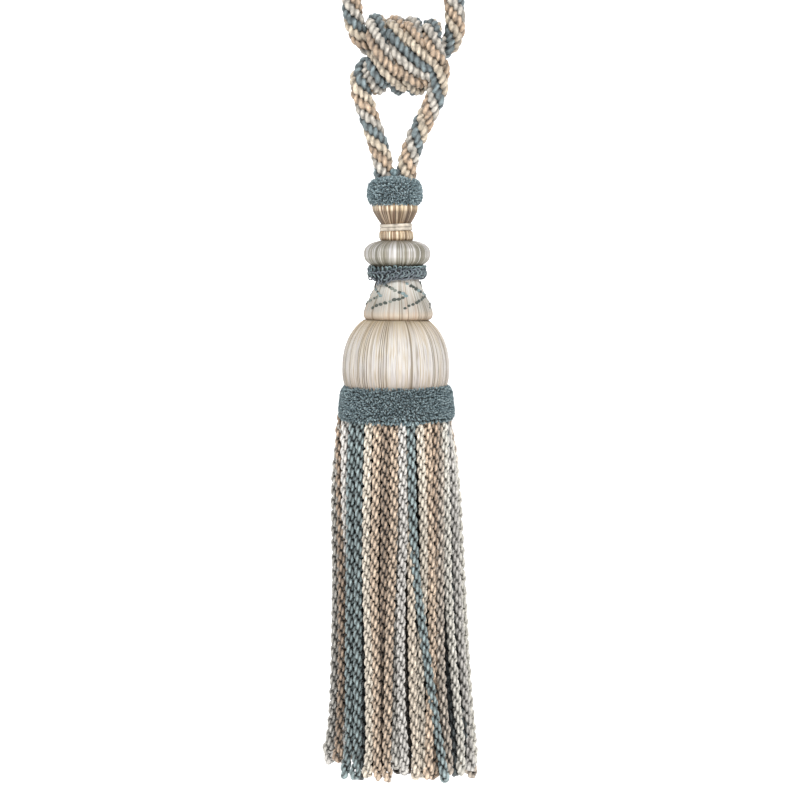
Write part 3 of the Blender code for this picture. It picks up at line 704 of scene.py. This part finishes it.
def threadMaterial(name, look):
    material, tree, shader = newMaterial(name, look["roughness"], look["specular"])
    place = addNode(tree, "ShaderNodeTexCoord").outputs["Object"]
    laid = addNode(tree, "ShaderNodeGroup", {
        "Place": place, "Centre": look["centre"], "Threads": look["threads"], "Spread": look["spread"]},
        node_tree=threadGroup).outputs
    mixed = mathNode(tree, "ADD", laid["Drift"], scaled(tree, laid["Thread"], -look["mix"], look["mix"]))
    base = mixColour(tree, 1.0, addRamp(tree, mixed, look["colours"]), look["tone"], "MULTIPLY")
    fewer = mathNode(tree, "GREATER_THAN", laid["Shade"], 1 - look["darkShare"])
    base = mixColour(tree, mathNode(tree, "MULTIPLY", fewer, 0.85), base, look["dark"])
    # the look's levels multiply its colour by height: painted light and shade, and for the cup also its own
    # body and foot colours
    low, high = look["levels"][0][0], look["levels"][-1][0]
    place = mathNode(tree, "SUBTRACT", laid["Level"], low)
    place = mathNode(tree, "DIVIDE", place, high - low, clamp=True)
    shares = [((level - low) / (high - low), tone) for level, tone in look["levels"]]
    base = mixColour(tree, 1.0, base, addRamp(tree, place, shares), "MULTIPLY")
    # a random tone for each thread, with painted shade between threads
    shade = mathNode(tree, "MULTIPLY", scaled(tree, laid["Shade"], *look["shade"]),
                     scaled(tree, laid["Round"], look["groove"], 1.0))
    feed(tree, shader.inputs["Base Color"], shaded(tree, base, shade))
    feed(tree, shader.inputs["Normal"], addBump(tree, laid["Round"], look["bump"]))
    return material


def pick(*objects):
    # these are selected and nothing else, and the first is active
    bpy.ops.object.select_all(action="DESELECT")
    for one in reversed(objects):
        one.select_set(True)
        bpy.context.view_layer.objects.active = one


def editAll():
    bpy.ops.object.mode_set(mode="EDIT")
    bpy.ops.mesh.select_all(action="SELECT")


def turnedCore(name, centre, rows, sides):
    # a plain turned shape from rows of (level, radius), top to bottom
    pick()
    bpy.ops.mesh.primitive_circle_add(vertices=sides, radius=rows[0][1], fill_type="NGON")
    piece = bpy.context.object
    piece.name = piece.data.name = name
    editAll()
    bpy.ops.transform.translate(value=(centre, 0, rows[0][0]))
    for (level, radius), (below, narrower) in zip(rows, rows[1:]):
        bpy.ops.mesh.extrude_region_move(TRANSFORM_OT_translate={"value": (0, 0, below - level)})
        share = narrower / radius
        bpy.ops.transform.resize(value=(share, share, 1), center_override=(centre, 0, below))
    bpy.ops.mesh.select_all(action="SELECT")
    bpy.ops.mesh.normals_make_consistent(inside=False)
    bpy.ops.object.mode_set(mode="OBJECT")
    return piece


def turnedPiece(name, centre, rows, look):
    # a turned shape ribbed by its threads, which leans by the look's "leans" from top to foot
    piece = turnedCore(name, centre, rows, look["threads"] * 4)
    lean = look.get("leans", 0.0) / (rows[0][0] - rows[-1][0])
    own = 0.65 + 0.35 * rng.random(look["threads"])
    shares = (0.0, 0.45, 1.0, 0.45)
    group = piece.vertex_groups.new(name="grooves")
    for vertex in piece.data.vertices:
        turn = round(math.atan2(vertex.co.y, vertex.co.x - centre) / tau * look["threads"] * 4)
        group.add([vertex.index], shares[turn % 4] * own[(turn // 4) % look["threads"]], "REPLACE")
    press = piece.modifiers.new("grooves", "DISPLACE")
    press.direction, press.vertex_group = "NORMAL", "grooves"
    press.strength, press.mid_level = -look["depth"], 0.0
    bpy.ops.object.modifier_apply(modifier=press.name)
    for vertex in piece.data.vertices:
        vertex.co.x += lean * (rows[0][0] - vertex.co.z)
    bpy.ops.object.shade_smooth()
    piece.data.materials.append(threadMaterial(look["material"], {**look, "centre": centre}))
    return piece


def roundRows(shape, parts):
    # a round moulding's rows, fuller than an ellipse
    power, centre, upper, lower = shape["power"], shape["centre"], shape["upper"], shape["lower"]
    first = math.asin(((shape["top"] - centre) / upper) ** (power / 2))
    last = -math.asin(((centre - shape["bottom"]) / lower) ** (power / 2))
    rows = []
    for n in range(parts + 1):
        angle = first + (last - first) * n / parts
        half = upper if angle > 0 else lower
        level = centre + math.copysign(half * abs(math.sin(angle)) ** (2 / power), angle)
        rows.append((level, shape["across"] * math.cos(angle) ** (2 / power)))
    return rows


# How the threads of each turned shape look, and its rows of (level, radius) in mm, top to bottom
cupLook = {
    "material": "cupThread", "threads": 118, "depth": 0.00011, "spread": 7.0, "mix": 0.16, "roughness": 0.42,
    "specular": 0.4, "darkShare": 0.14, "dark": colour(104, 82, 60), "shade": (0.78, 1.18), "groove": 0.55,
    "bump": 0.00006, "leans": 0.0008, "tone": (1.0, 1.06, 1.12),
    "colours": stops(
        (0.30, 88, 68, 46), (0.40, 140, 119, 91), (0.47, 194, 174, 146), (0.54, 243, 229, 210),
        (0.60, 182, 159, 134), (0.67, 124, 90, 72), (0.76, 164, 146, 116)),
    # levels: a painted highlight along the rim's top; the darker body and the paler foot are the cup's own
    # colours, and it darkens at the very bottom
    "levels": stops(
        (-0.1750, 150, 134, 112), (-0.1734, 215, 200, 180), (-0.1718, 255, 250, 240),
        (-0.1692, 246, 236, 222), (-0.1660, 166, 150, 134), (-0.1606, 176, 164, 150),
        (-0.1597, 232, 224, 212), (-0.1586, 255, 250, 240)),
}
cupRows = inMetres([
    (-156.5, 8.6), (-156.7, 9.4), (-157.3, 9.9), (-158.3, 10.2), (-159.4, 10.2), (-160.3, 10),
    (-161.2, 9.6), (-162.7, 8.8), (-164.2, 7.9), (-165.2, 7.2), (-166, 6.6), (-169, 6.6), (-169.4, 7.3),
    (-170.1, 7.6), (-171.2, 7.7), (-172.3, 7.7), (-173.1, 7.4), (-173.6, 6.7), (-175, 6),
])
bunLook = {
    "material": "bunThread", "threads": 164, "depth": 0.00009, "spread": 8.5, "mix": 0.22, "roughness": 0.36,
    "specular": 0.5, "darkShare": 0.12, "dark": colour(104, 98, 82), "shade": (0.80, 1.14), "groove": 0.62,
    "bump": 0.00005, "tone": (0.69, 0.71, 0.75),
    "colours": stops(
        (0.30, 132, 126, 108), (0.39, 172, 166, 152), (0.46, 208, 203, 196), (0.56, 216, 211, 206),
        (0.63, 196, 188, 176), (0.72, 148, 140, 122)),
    # levels: painted light, a bright band round the middle, with painted shade darkening it towards the top
    # and the bottom
    "levels": stops(
        (-0.1852, 140, 138, 122), (-0.1838, 196, 193, 180), (-0.1816, 228, 226, 216),
        (-0.1806, 255, 253, 250), (-0.1770, 255, 255, 255), (-0.1750, 238, 236, 232),
        (-0.1732, 196, 192, 184)),
}
bunShape = {"centre": -0.1794, "across": 0.0149, "upper": 0.0064, "lower": 0.0068, "power": 2.5,
            "top": -0.1733, "bottom": -0.1854}
bellLook = {
    "material": "bellThread", "threads": 168, "depth": 0.00009, "spread": 6.0, "mix": 0.14, "roughness": 0.45,
    "specular": 0.4, "darkShare": 0.12, "dark": colour(128, 118, 104), "shade": (0.82, 1.12), "groove": 0.62,
    "bump": 0.00005, "tone": (0.60, 0.62, 0.66),
    "colours": stops(
        (0.26, 196, 190, 182), (0.42, 232, 226, 216), (0.56, 240, 234, 224), (0.68, 228, 208, 192),
        (0.80, 206, 196, 178)),
    # levels: painted light and shade by height, lightest at the top and with painted shade greying the
    # middle; it is darker and warmer at the lip's lower edge
    "levels": stops(
        (-0.2086, 214, 192, 166), (-0.2066, 240, 226, 208), (-0.2046, 224, 219, 210),
        (-0.2010, 214, 212, 204), (-0.1960, 238, 238, 232), (-0.1900, 255, 255, 252)),
}
bellRows = inMetres([
    (-185, 8.2), (-188, 8.6), (-190.5, 9.2), (-192.5, 9.9), (-194.7, 10.8), (-197, 11.9),
    (-199.5, 13.1), (-202, 14.3), (-204, 15.1), (-205.3, 15.5), (-206.6, 15.6), (-207.8, 15.3),
    (-208.7, 14.6), (-209.1, 13.4),
])
ballLook = {
    "material": "ballThread", "threads": 320, "depth": 0.00009, "spread": 14.0, "mix": 0.16,
    "roughness": 0.42, "specular": 0.4, "darkShare": 0.14, "dark": colour(104, 93, 76),
    "shade": (0.86, 1.10), "groove": 0.64, "bump": 0.00006, "tone": (0.63, 0.66, 0.73),
    "colours": stops(
        (0.24, 186, 172, 152), (0.38, 214, 206, 196), (0.50, 230, 222, 210), (0.62, 222, 208, 186),
        (0.74, 200, 184, 158)),
    # levels: painted shade at the top, under the bell, and towards the bottom; lightest round the middle
    "levels": stops(
        (-0.2438, 212, 202, 188), (-0.2380, 226, 218, 208), (-0.2300, 255, 253, 250),
        (-0.2200, 255, 253, 248), (-0.2130, 250, 242, 228), (-0.2095, 238, 226, 202)),
}
ballShape = {"centre": -0.2315, "across": 0.0241, "upper": 0.0265, "lower": 0.0185, "power": 2.3,
             "top": -0.2089, "bottom": -0.2438}
ballRows = roundRows(ballShape, 17) + [(-0.2445, 0.0179), (-0.2500, 0.0179)]
bellCentre = 0.0008

for name, centre, rows, look, slot in (
        ("Cup", -0.0007, cupRows, cupLook, "cup_thread"),
        ("Bun", 0.0003, roundRows(bunShape, 12), bunLook, "bun_thread"),
        ("Bell", bellCentre, bellRows, bellLook, "bell_thread"),
        ("Ball", -0.0003, ballRows, ballLook, "ball_thread")):
    piece = turnedPiece(name, centre, rows, look)
    settle(piece, [name.lower()])
print("turned pieces made")

# Dark stitches darned over the bell in six arrowheads that point to the right
stitch = {
    "points": (-39, 17, 77, 138, 200, 260),    # degrees round from the front
    "level": -0.1979,
    "upper": (-53, -0.1926, 8),                # degrees and level of an arm's far end, its stitches
    "lower": (-66, -0.2031, 9),
    "size": (0.00104, 0.00032, 0.00074),
    "proud": 0.00008,
    "dark": colour(58, 63, 58),
    "teal": colour(106, 122, 123),
    "grey": colour(98, 103, 96),
}


def bellRadius(level):
    rows = np.array(bellRows)[::-1]
    return float(np.interp(level, rows[:, 0], rows[:, 1]))


def bellStitches():
    made = []
    for node in stitch["points"]:
        places = [(node, stitch["level"])]
        for reach, level, count in (stitch["upper"], stitch["lower"]):
            for n in range(1, count):
                share = n / (count - 1)
                places.append((node + reach * share, stitch["level"] + (level - stitch["level"]) * share))
        for number, (turn, level) in enumerate(places):
            turn = math.radians(turn + 3 * (rng.random() - 0.5)) - math.pi / 2
            level += 0.0005 * (rng.random() - 0.5)
            pick()
            bpy.ops.mesh.primitive_uv_sphere_add(segments=8, ring_count=5, radius=1.0, rotation=(0, 0, 0))
            one = bpy.context.object
            editAll()
            size = 0.75 + 0.5 * rng.random()
            bpy.ops.transform.resize(value=[part * size for part in stitch["size"]])
            slant = -0.35 + 0.7 * rng.random()
            bpy.ops.transform.rotate(value=slant, orient_axis="Y", center_override=(0, 0, 0))
            bpy.ops.transform.rotate(value=-(turn + math.pi / 2), orient_axis="Z", center_override=(0, 0, 0))
            radius = bellRadius(level) + stitch["proud"]
            bpy.ops.transform.translate(value=(
                bellCentre + radius * math.cos(turn), radius * math.sin(turn), level))
            bpy.ops.object.mode_set(mode="OBJECT")
            kind = rng.random()
            tone = stitch["teal" if number < 2 or kind > 0.90 else ("grey" if kind > 0.66 else "dark")]
            setMeshData(one.data.attributes.new("yarnTint", "FLOAT_COLOR", "POINT"), "color",
                        np.tile([*tone, rng.random()], len(one.data.vertices)))
            bpy.ops.object.shade_smooth()
            made.append(one)
    pick(*made)
    bpy.ops.object.join()
    return bpy.context.object


def yarnMaterial(name, roughness, patchScale, patch):
    # a plain yarn of its own colour, in lighter and darker patches
    material, tree, shader = newMaterial(name, roughness, 0.3, 0.2)
    tint = addNode(tree, "ShaderNodeAttribute", attribute_name="yarnTint")
    place = addNode(tree, "ShaderNodeTexCoord").outputs["Object"]
    noise = addNoise(tree, place, patchScale, 3.0)
    feed(tree, shader.inputs["Base Color"], shaded(tree, tint.outputs["Color"], scaled(tree, noise, *patch)))
    feed(tree, shader.inputs["Normal"], addBump(tree, noise, 0.00015))
    return material


stitches = bellStitches()
stitches.name = stitches.data.name = "BellStitches"
stitches.data.materials.append(yarnMaterial("darningYarn", 0.7, 1500.0, (0.4, 1.6)))
settle(stitches, ["bell"])

# The looped gimp round the joint of bun and bell: rows of curls over a near-black bed, painted shade behind
# the curls
gimp = {
    "centre": 0.0003,
    "rows": (-0.1859, -0.1870, -0.1882, -0.1893),
    "ring": (0.0119, 0.0122, 0.0122, 0.0117),
    "curls": 34,
    "parts": 13,                # points in a curl
    "across": 0.00125,
    "high": 0.00105,
    "out": 0.00100,
    "cord": 0.00030,
    "bed": 0.0108,
    "bedCord": 0.00110,
    "droop": (0.0030, 230, 30),    # how far it sags, where round and how widely, in degrees
    "tones": (colour(92, 108, 110), colour(76, 84, 90), colour(90, 102, 104), colour(80, 86, 92)),
    "bedShadeTone": (0.010, 0.014, 0.017),
}


def gimpDroop(angle):
    depth, place, width = gimp["droop"]
    return -depth * math.exp(-((math.degrees(angle) % 360 - place) / width) ** 2)


tubes = []
for row, (level, ring) in enumerate(zip(gimp["rows"], gimp["ring"])):
    points = []
    wild = rng.random((gimp["curls"] + 1, 3)) - 0.5    # how unlike its neighbours a curl is
    wild[-1] = wild[0]
    for n in range(gimp["curls"] * gimp["parts"] + 1):
        place = n / gimp["parts"]
        own = np.array([np.interp(place, np.arange(gimp["curls"] + 1), wild[:, k]) for k in range(3)])
        spin = tau * place + row * 2.1 + 2.4 * own[2]
        angle = tau * place / gimp["curls"] + gimp["across"] * (1 + 0.5 * own[0]) / ring * math.cos(spin)
        lift = gimp["high"] * (1 + 0.9 * own[1]) * math.sin(spin) + 0.0008 * own[2]
        radius = ring + gimp["out"] * math.sin(spin + 0.9 + 2 * own[1]) + 0.0006 * own[0]
        share = (row + 0.4) / len(gimp["rows"])
        points.append((gimp["centre"] + radius * math.cos(angle), radius * math.sin(angle),
                       level + lift + share * gimpDroop(angle)))
    tube = sweep(np.array(points), gimp["cord"], (0, 0, 1), np.ones(5))
    tubes.append({**tube, "tint": gimp["tones"][row], "number": row / 4})
for level in gimp["rows"]:
    turns = np.linspace(0, tau, 65)
    path = np.stack([gimp["centre"] + gimp["bed"] * np.cos(turns), gimp["bed"] * np.sin(turns),
                     level + np.array([0.6 * gimpDroop(turn) for turn in turns])], axis=1)
    bed = sweep(path, gimp["bedCord"], (0, 0, 1), np.ones(6))
    tubes.append({**bed, "tint": gimp["bedShadeTone"], "number": 0.9})
gimpCollar = joinTubes("GimpCollar", tubes, yarnMaterial("gimpYarn", 0.5, 620.0, (-0.35, 2.6)))
settle(gimpCollar, ["gimp_collar"])

# Cream yarn whipped round the cup's waist, a little higher at the right
waist = {"centre": -0.0002, "radius": 0.0067, "yarn": 0.00082, "turns": 2, "top": -0.16600,
         "bottom": -0.16910, "tilt": 0.085, "tone": colour(168, 159, 146)}
turns = np.linspace(0, tau * waist["turns"], 64 * waist["turns"] + 1) + math.pi / 2
share = (turns - turns[0]) / (turns[-1] - turns[0])
path = np.stack([waist["centre"] + waist["radius"] * np.cos(turns), waist["radius"] * np.sin(turns),
                 waist["top"] + (waist["bottom"] - waist["top"]) * share
                 + waist["tilt"] * waist["radius"] * np.cos(turns)], axis=1)
band = sweep(path, waist["yarn"], (0, 0, 1), np.ones(8))
waistBand = joinTubes("WaistBand", [{**band, "tint": waist["tone"], "number": 0.3}],
                      yarnMaterial("whippingYarn", 0.5, 330.0, (-0.1, 2.1)))
settle(waistBand, ["waist_band"])
print("stitches, gimp and whipping made")


# The two cut-pile ruffs: short tufts stood all over a core. A tuft's foot is narrow and sunk, its
# head is spread and turned, and its tip draws in again
tuftShape = {"foot": 0.55, "sunk": 0.2, "spread": 1.8, "turn": 0.5, "tip": 0.45, "tipLength": 0.2}


def makeTuft(name, radius, length):
    pick()
    bpy.ops.mesh.primitive_circle_add(vertices=4, radius=radius * tuftShape["foot"], fill_type="NGON")
    tuft = bpy.context.object
    tuft.name = tuft.data.name = name
    editAll()
    bpy.ops.transform.translate(value=(0, 0, -length * tuftShape["sunk"]))
    bpy.ops.mesh.extrude_region_move(TRANSFORM_OT_translate={"value": (0, 0, length)})
    bpy.ops.transform.resize(value=(tuftShape["spread"], tuftShape["spread"], 1))
    bpy.ops.transform.rotate(value=tuftShape["turn"], orient_axis="Z", center_override=(0, 0, length))
    tip = length * tuftShape["tipLength"]
    bpy.ops.mesh.extrude_region_move(TRANSFORM_OT_translate={"value": (0, 0, tip)})
    bpy.ops.transform.resize(value=(tuftShape["tip"], tuftShape["tip"], 1))
    bpy.ops.mesh.select_all(action="SELECT")
    bpy.ops.mesh.normals_make_consistent(inside=False)
    bpy.ops.object.mode_set(mode="OBJECT")
    bpy.ops.object.shade_smooth()
    tips = [max(0.0, min(1.0, vertex.co.z / length)) for vertex in tuft.data.vertices]
    setMeshData(tuft.data.attributes.new("tipShare", "FLOAT", "POINT"), "value", tips)
    return tuft


def pileMaterial(name, look):
    material, tree, shader = newMaterial(name, 0.85, 0.15, 0.25)
    own = addNode(tree, "ShaderNodeAttribute", attribute_name="tuftShade").outputs["Fac"]
    tip = addNode(tree, "ShaderNodeAttribute", attribute_name="tipShare").outputs["Fac"]
    noise = addNoise(tree, addNode(tree, "ShaderNodeTexCoord").outputs["Object"], look["patchScale"])
    mixed = mathNode(tree, "ADD", mathNode(tree, "MULTIPLY", own, 0.75),
                     mathNode(tree, "MULTIPLY", noise, 0.5))
    top = addRamp(tree, mixed, look["colours"])
    # painted shade: a tuft darkens to the root colour deep in the pile, and the bare core takes the root
    # colour
    rise = mathNode(tree, "POWER", tip, 1.6)
    feed(tree, shader.inputs["Base Color"], mixColour(tree, rise, look["root"], top))
    return material


def enabled(sockets):
    return [socket for socket in sockets if socket.enabled]


def randomNode(tree, kind, low, high, seed):
    node = addNode(tree, "FunctionNodeRandomValue", {"Seed": seed}, data_type=kind)
    picked = enabled(node.inputs)
    picked[0].default_value, picked[1].default_value = low, high
    return enabled(node.outputs)[0]


def pilePlaces(name, centre, rows, look, share, lengthen):
    # where tufts stand on a turned core: a golden spiral down it, each a little off its place
    spacing = look["spacing"]
    table = np.array([(rows[0][0], 0.0), *rows])
    along = lengthAlong(table)
    fine = np.linspace(0, along[-1], 600)
    radius = np.interp(fine, along, table[:, 1])
    area = np.concatenate([[0], np.cumsum(tau * (radius[1:] + radius[:-1]) / 2 * np.diff(fine))])
    count = int(look["full"] * area[-1] / spacing ** 2)
    off = (np.random.default_rng(9).random((count, 2)) - 0.5) * look["uneven"] * spacing
    run = np.interp((np.arange(count) + 0.5) / count * area[-1], area, fine)
    run = np.clip(run + off[:, 0], 0, along[-1])
    z, r = (np.interp(run, along, table[:, k]) for k in (0, 1))
    angle = np.arange(count) * math.pi * (3 - math.sqrt(5)) + off[:, 1] / np.maximum(r, spacing)
    row = np.clip(np.searchsorted(along, run, side="right") - 1, 0, len(table) - 2)
    step = np.diff(table, axis=0)[row]
    around = np.stack([np.cos(angle), np.sin(angle)], axis=1)
    points = np.column_stack([centre + r * around[:, 0], r * around[:, 1], z])
    outward = unit(np.column_stack([-step[:, :1] * around, step[:, 1]]))
    kept = np.array([share(*point) > 0.5 for point in points])
    mesh = bpy.data.meshes.new(name + "Places")
    mesh.from_pydata(points[kept].tolist(), [], [])
    setMeshData(mesh.attributes.new("pileOut", "FLOAT_VECTOR", "POINT"), "vector", outward[kept])
    setMeshData(mesh.attributes.new("pileLength", "FLOAT", "POINT"), "value",
                [lengthen(*point) for point in points[kept]])
    places = bpy.data.objects.new(name + "Places", mesh)
    scene.collection.objects.link(places)
    return places


def pileTree(name, look, places, tuft):
    # geometry nodes that stand the tuft at each place, leaning and turned by chance
    tree = bpy.data.node_groups.new(name, "GeometryNodeTree")
    for way in ("INPUT", "OUTPUT"):
        tree.interface.new_socket("Geometry", in_out=way, socket_type="NodeSocketGeometry")
    given, result = tree.nodes.new("NodeGroupInput"), tree.nodes.new("NodeGroupOutput")
    outward, longer = (
        enabled(addNode(tree, "GeometryNodeInputNamedAttribute", {"Name": label}, data_type=kind).outputs)[0]
        for label, kind in (("pileOut", "FLOAT_VECTOR"), ("pileLength", "FLOAT")))
    points, source = (addNode(tree, "GeometryNodeObjectInfo", {"Object": one}).outputs["Geometry"]
                      for one in (places, tuft))
    upright = addNode(tree, "FunctionNodeAlignRotationToVector", {"Vector": outward}, axis="Z").outputs[0]
    shade = randomNode(tree, "FLOAT", 0.0, 1.0, 7)
    keep = addNode(tree, "GeometryNodeStoreNamedAttribute", {
        "Geometry": points, "Name": "tuftShade", "Value": shade}, data_type="FLOAT", domain="POINT")
    reach = (look["lean"], look["lean"], 3.1)
    lean = randomNode(tree, "FLOAT_VECTOR", tuple(-part for part in reach), reach, 9)
    lean = addNode(tree, "FunctionNodeEulerToRotation", {0: lean}).outputs[0]
    turned = addNode(tree, "FunctionNodeRotateRotation", {"Rotation": upright, "Rotate By": lean},
                     rotation_space="LOCAL").outputs[0]
    length = mathNode(tree, "MULTIPLY", randomNode(tree, "FLOAT", *look["scale"], 11), longer)
    stand = addNode(tree, "GeometryNodeInstanceOnPoints", {
        "Points": keep.outputs[0], "Instance": source, "Rotation": turned, "Scale": length}).outputs[0]
    real = addNode(tree, "GeometryNodeRealizeInstances", {"Geometry": stand}).outputs[0]
    join = addNode(tree, "GeometryNodeJoinGeometry", {0: real})
    feed(tree, join.inputs[0], given.outputs[0])
    feed(tree, result.inputs[0], join.outputs[0])
    return tree


def pileRuff(name, centre, rows, tuft, look, share, lengthen):
    # share(x, y, z) is how thick the pile stands at a place on the core, lengthen how long it is
    ruff = turnedCore(name, centre, rows, 72)
    bpy.ops.object.shade_smooth()
    ruff.data.materials.append(look["material"])
    places = pilePlaces(name, centre, rows, look, share, lengthen)
    pile = ruff.modifiers.new("pile", "NODES")
    pile.node_group = pileTree(name + "Pile", look, places, tuft)
    pick(ruff)
    bpy.ops.object.modifier_apply(modifier=pile.name)
    bpy.data.objects.remove(places)
    return ruff


pileColours = stops((0.10, 66, 80, 84), (0.40, 92, 108, 113), (0.70, 114, 131, 136), (1.00, 150, 167, 170))
topPile = {
    "spacing": 0.00044,
    "full": 0.48,            # tufts to a square of the spacing
    "uneven": 0.55,          # how far off its place a tuft stands, in spacings
    "lean": 0.42,
    "scale": (0.80, 1.15),
    "patchScale": 300.0,
    # the root colour is painted shade deep in the pile
    "root": colour(58, 70, 72),
    "colours": pileColours,
}
topPile["material"] = pileMaterial("topPile", topPile)
widePile = {**topPile, "spacing": 0.00049, "root": colour(50, 61, 63),
            "colours": [(place, tuple(0.82 * part for part in tone)) for place, tone in pileColours]}
widePile["material"] = pileMaterial("widePile", widePile)
topTuft = makeTuft("topTuft", 0.00034, 0.0018)
topTuft.data.materials.append(topPile["material"])
wideTuft = makeTuft("wideTuft", 0.00036, 0.0017)
wideTuft.data.materials.append(widePile["material"])


# The top ruff has no pile where the rope's two ends enter it and where it lies on the cup, and a
# taller tuft stands up between the ends
topGaps = {"feet": ((-0.0055, 0.0008), (0.0041, -0.0008)), "footRadius": 0.0041, "above": -0.1500,
           "below": -0.1559, "cupRadius": 0.0088, "centre": -0.0007, "tuftPlace": -0.0009,
           "tuftHalf": (0.0008, 0.0047), "tuftLength": 2.6}


def topShare(x, y, z):
    away = min(math.hypot(x - footX, y - footY) for footX, footY in topGaps["feet"])
    onRope = z > topGaps["above"] and away < topGaps["footRadius"]
    onCup = z < topGaps["below"] and math.hypot(x - topGaps["centre"], y) < topGaps["cupRadius"]
    return 0.0 if onRope or onCup else 1.0


def topLength(x, y, z):
    wide, deep = topGaps["tuftHalf"]
    between = z > topGaps["above"] and abs(x - topGaps["tuftPlace"]) < wide and abs(y) < deep
    return topGaps["tuftLength"] if between else 1.0


topRows = inMetres([
    (-146.4, 4), (-146.6, 6.6), (-147.4, 8.9), (-148.7, 10.2), (-150.5, 10.7), (-153, 10.9),
    (-154.3, 10.7), (-155.5, 10.3), (-156.3, 9.6), (-156.9, 8.4),
])
topRuff = pileRuff("TopRuff", topGaps["centre"], topRows, topTuft, topPile, topShare, topLength)
settle(topRuff, ["top_ruff"])

wideRows = inMetres([
    (-240, 20.8), (-239.6, 22.1), (-239.9, 22.9), (-241, 23.5), (-243, 23.9), (-245.5, 24.2),
    (-248, 24.5), (-250.5, 24.7), (-252.2, 24.5), (-252.9, 23.6), (-252.8, 22.2), (-252.4, 20.5),
])


def wideShare(x, y, z):
    # none inside, against the ball and the cords
    return 0.0 if math.hypot(x, y) < 0.0220 else 1.0


def wideLength(x, y, z):
    # the lower edge is shaggier in the middle
    return 1.0 + (0.5 * max(0.0, 1 - (x / 0.018) ** 2) if z < -0.2512 else 0.0)


wideRuff = pileRuff("WideRuff", 0.0, wideRows, wideTuft, widePile, wideShare, wideLength)
settle(wideRuff, ["wide_ruff"])
for tuft in (topTuft, wideTuft):
    bpy.data.objects.remove(tuft)
print("ruffs made")


stage = {"floor": (14.0, -0.62), "backdrop": (8.0, 2.6),    # size, and level or place behind
         "tone": (0.9, 0.9, 0.9, 1.0), "glow": 0.55, "sky": 0.55}
middle = (0, 0, -0.25)
lamps = [    # name, place, what it is aimed at, size, power
    ("key", (0.22, -1.15, 0.62), middle, 0.5, 22),
    ("fill", (-1.10, -1.10, 0.20), middle, 0.9, 10),
    ("side", (1.05, -0.70, -0.45), (0, 0, -0.34), 0.6, 4.5),
    ("rim", (0.20, 1.00, 0.90), middle, 0.6, 6),
]


def stageMaterial(name):
    material = bpy.data.materials.new(name)
    material.use_nodes = True
    shader = material.node_tree.nodes["Principled BSDF"]
    for label, value in (("Base Color", stage["tone"]), ("Roughness", 0.9),
                         ("Emission Color", (1.0, 1.0, 1.0, 1.0)), ("Emission Strength", stage["glow"])):
        shader.inputs[label].default_value = value
    return material


def addPlane(name, size, place, turn, material):
    pick()
    bpy.ops.mesh.primitive_plane_add(size=size, location=place, rotation=turn)
    plane = bpy.context.object
    plane.name = name
    plane.data.materials.append(material)


def addLamp(name, place, target, size, power):
    data = bpy.data.lights.new(name, "AREA")
    data.shape = "SQUARE"
    data.size = size
    data.energy = power
    lamp = bpy.data.objects.new(name, data)
    lamp.location = place
    lamp.rotation_euler = (Vector(target) - Vector(place)).to_track_quat("-Z", "Y").to_euler()
    scene.collection.objects.link(lamp)


pale = stageMaterial("paleStage")
addPlane("floor", stage["floor"][0], (0, 0, stage["floor"][1]), (0, 0, 0), pale)
addPlane("backdrop", stage["backdrop"][0], (0, stage["backdrop"][1], 0), (math.radians(90), 0, 0), pale)
world = bpy.data.worlds.new("softRoom")
world.use_nodes = True
sky = world.node_tree.nodes["Background"]
sky.inputs[0].default_value, sky.inputs[1].default_value = (1.0, 1.0, 1.0, 1.0), stage["sky"]
scene.world = world
for lamp in lamps:
    addLamp(*lamp)
scene.view_settings.view_transform = "Standard"
print("stage set")
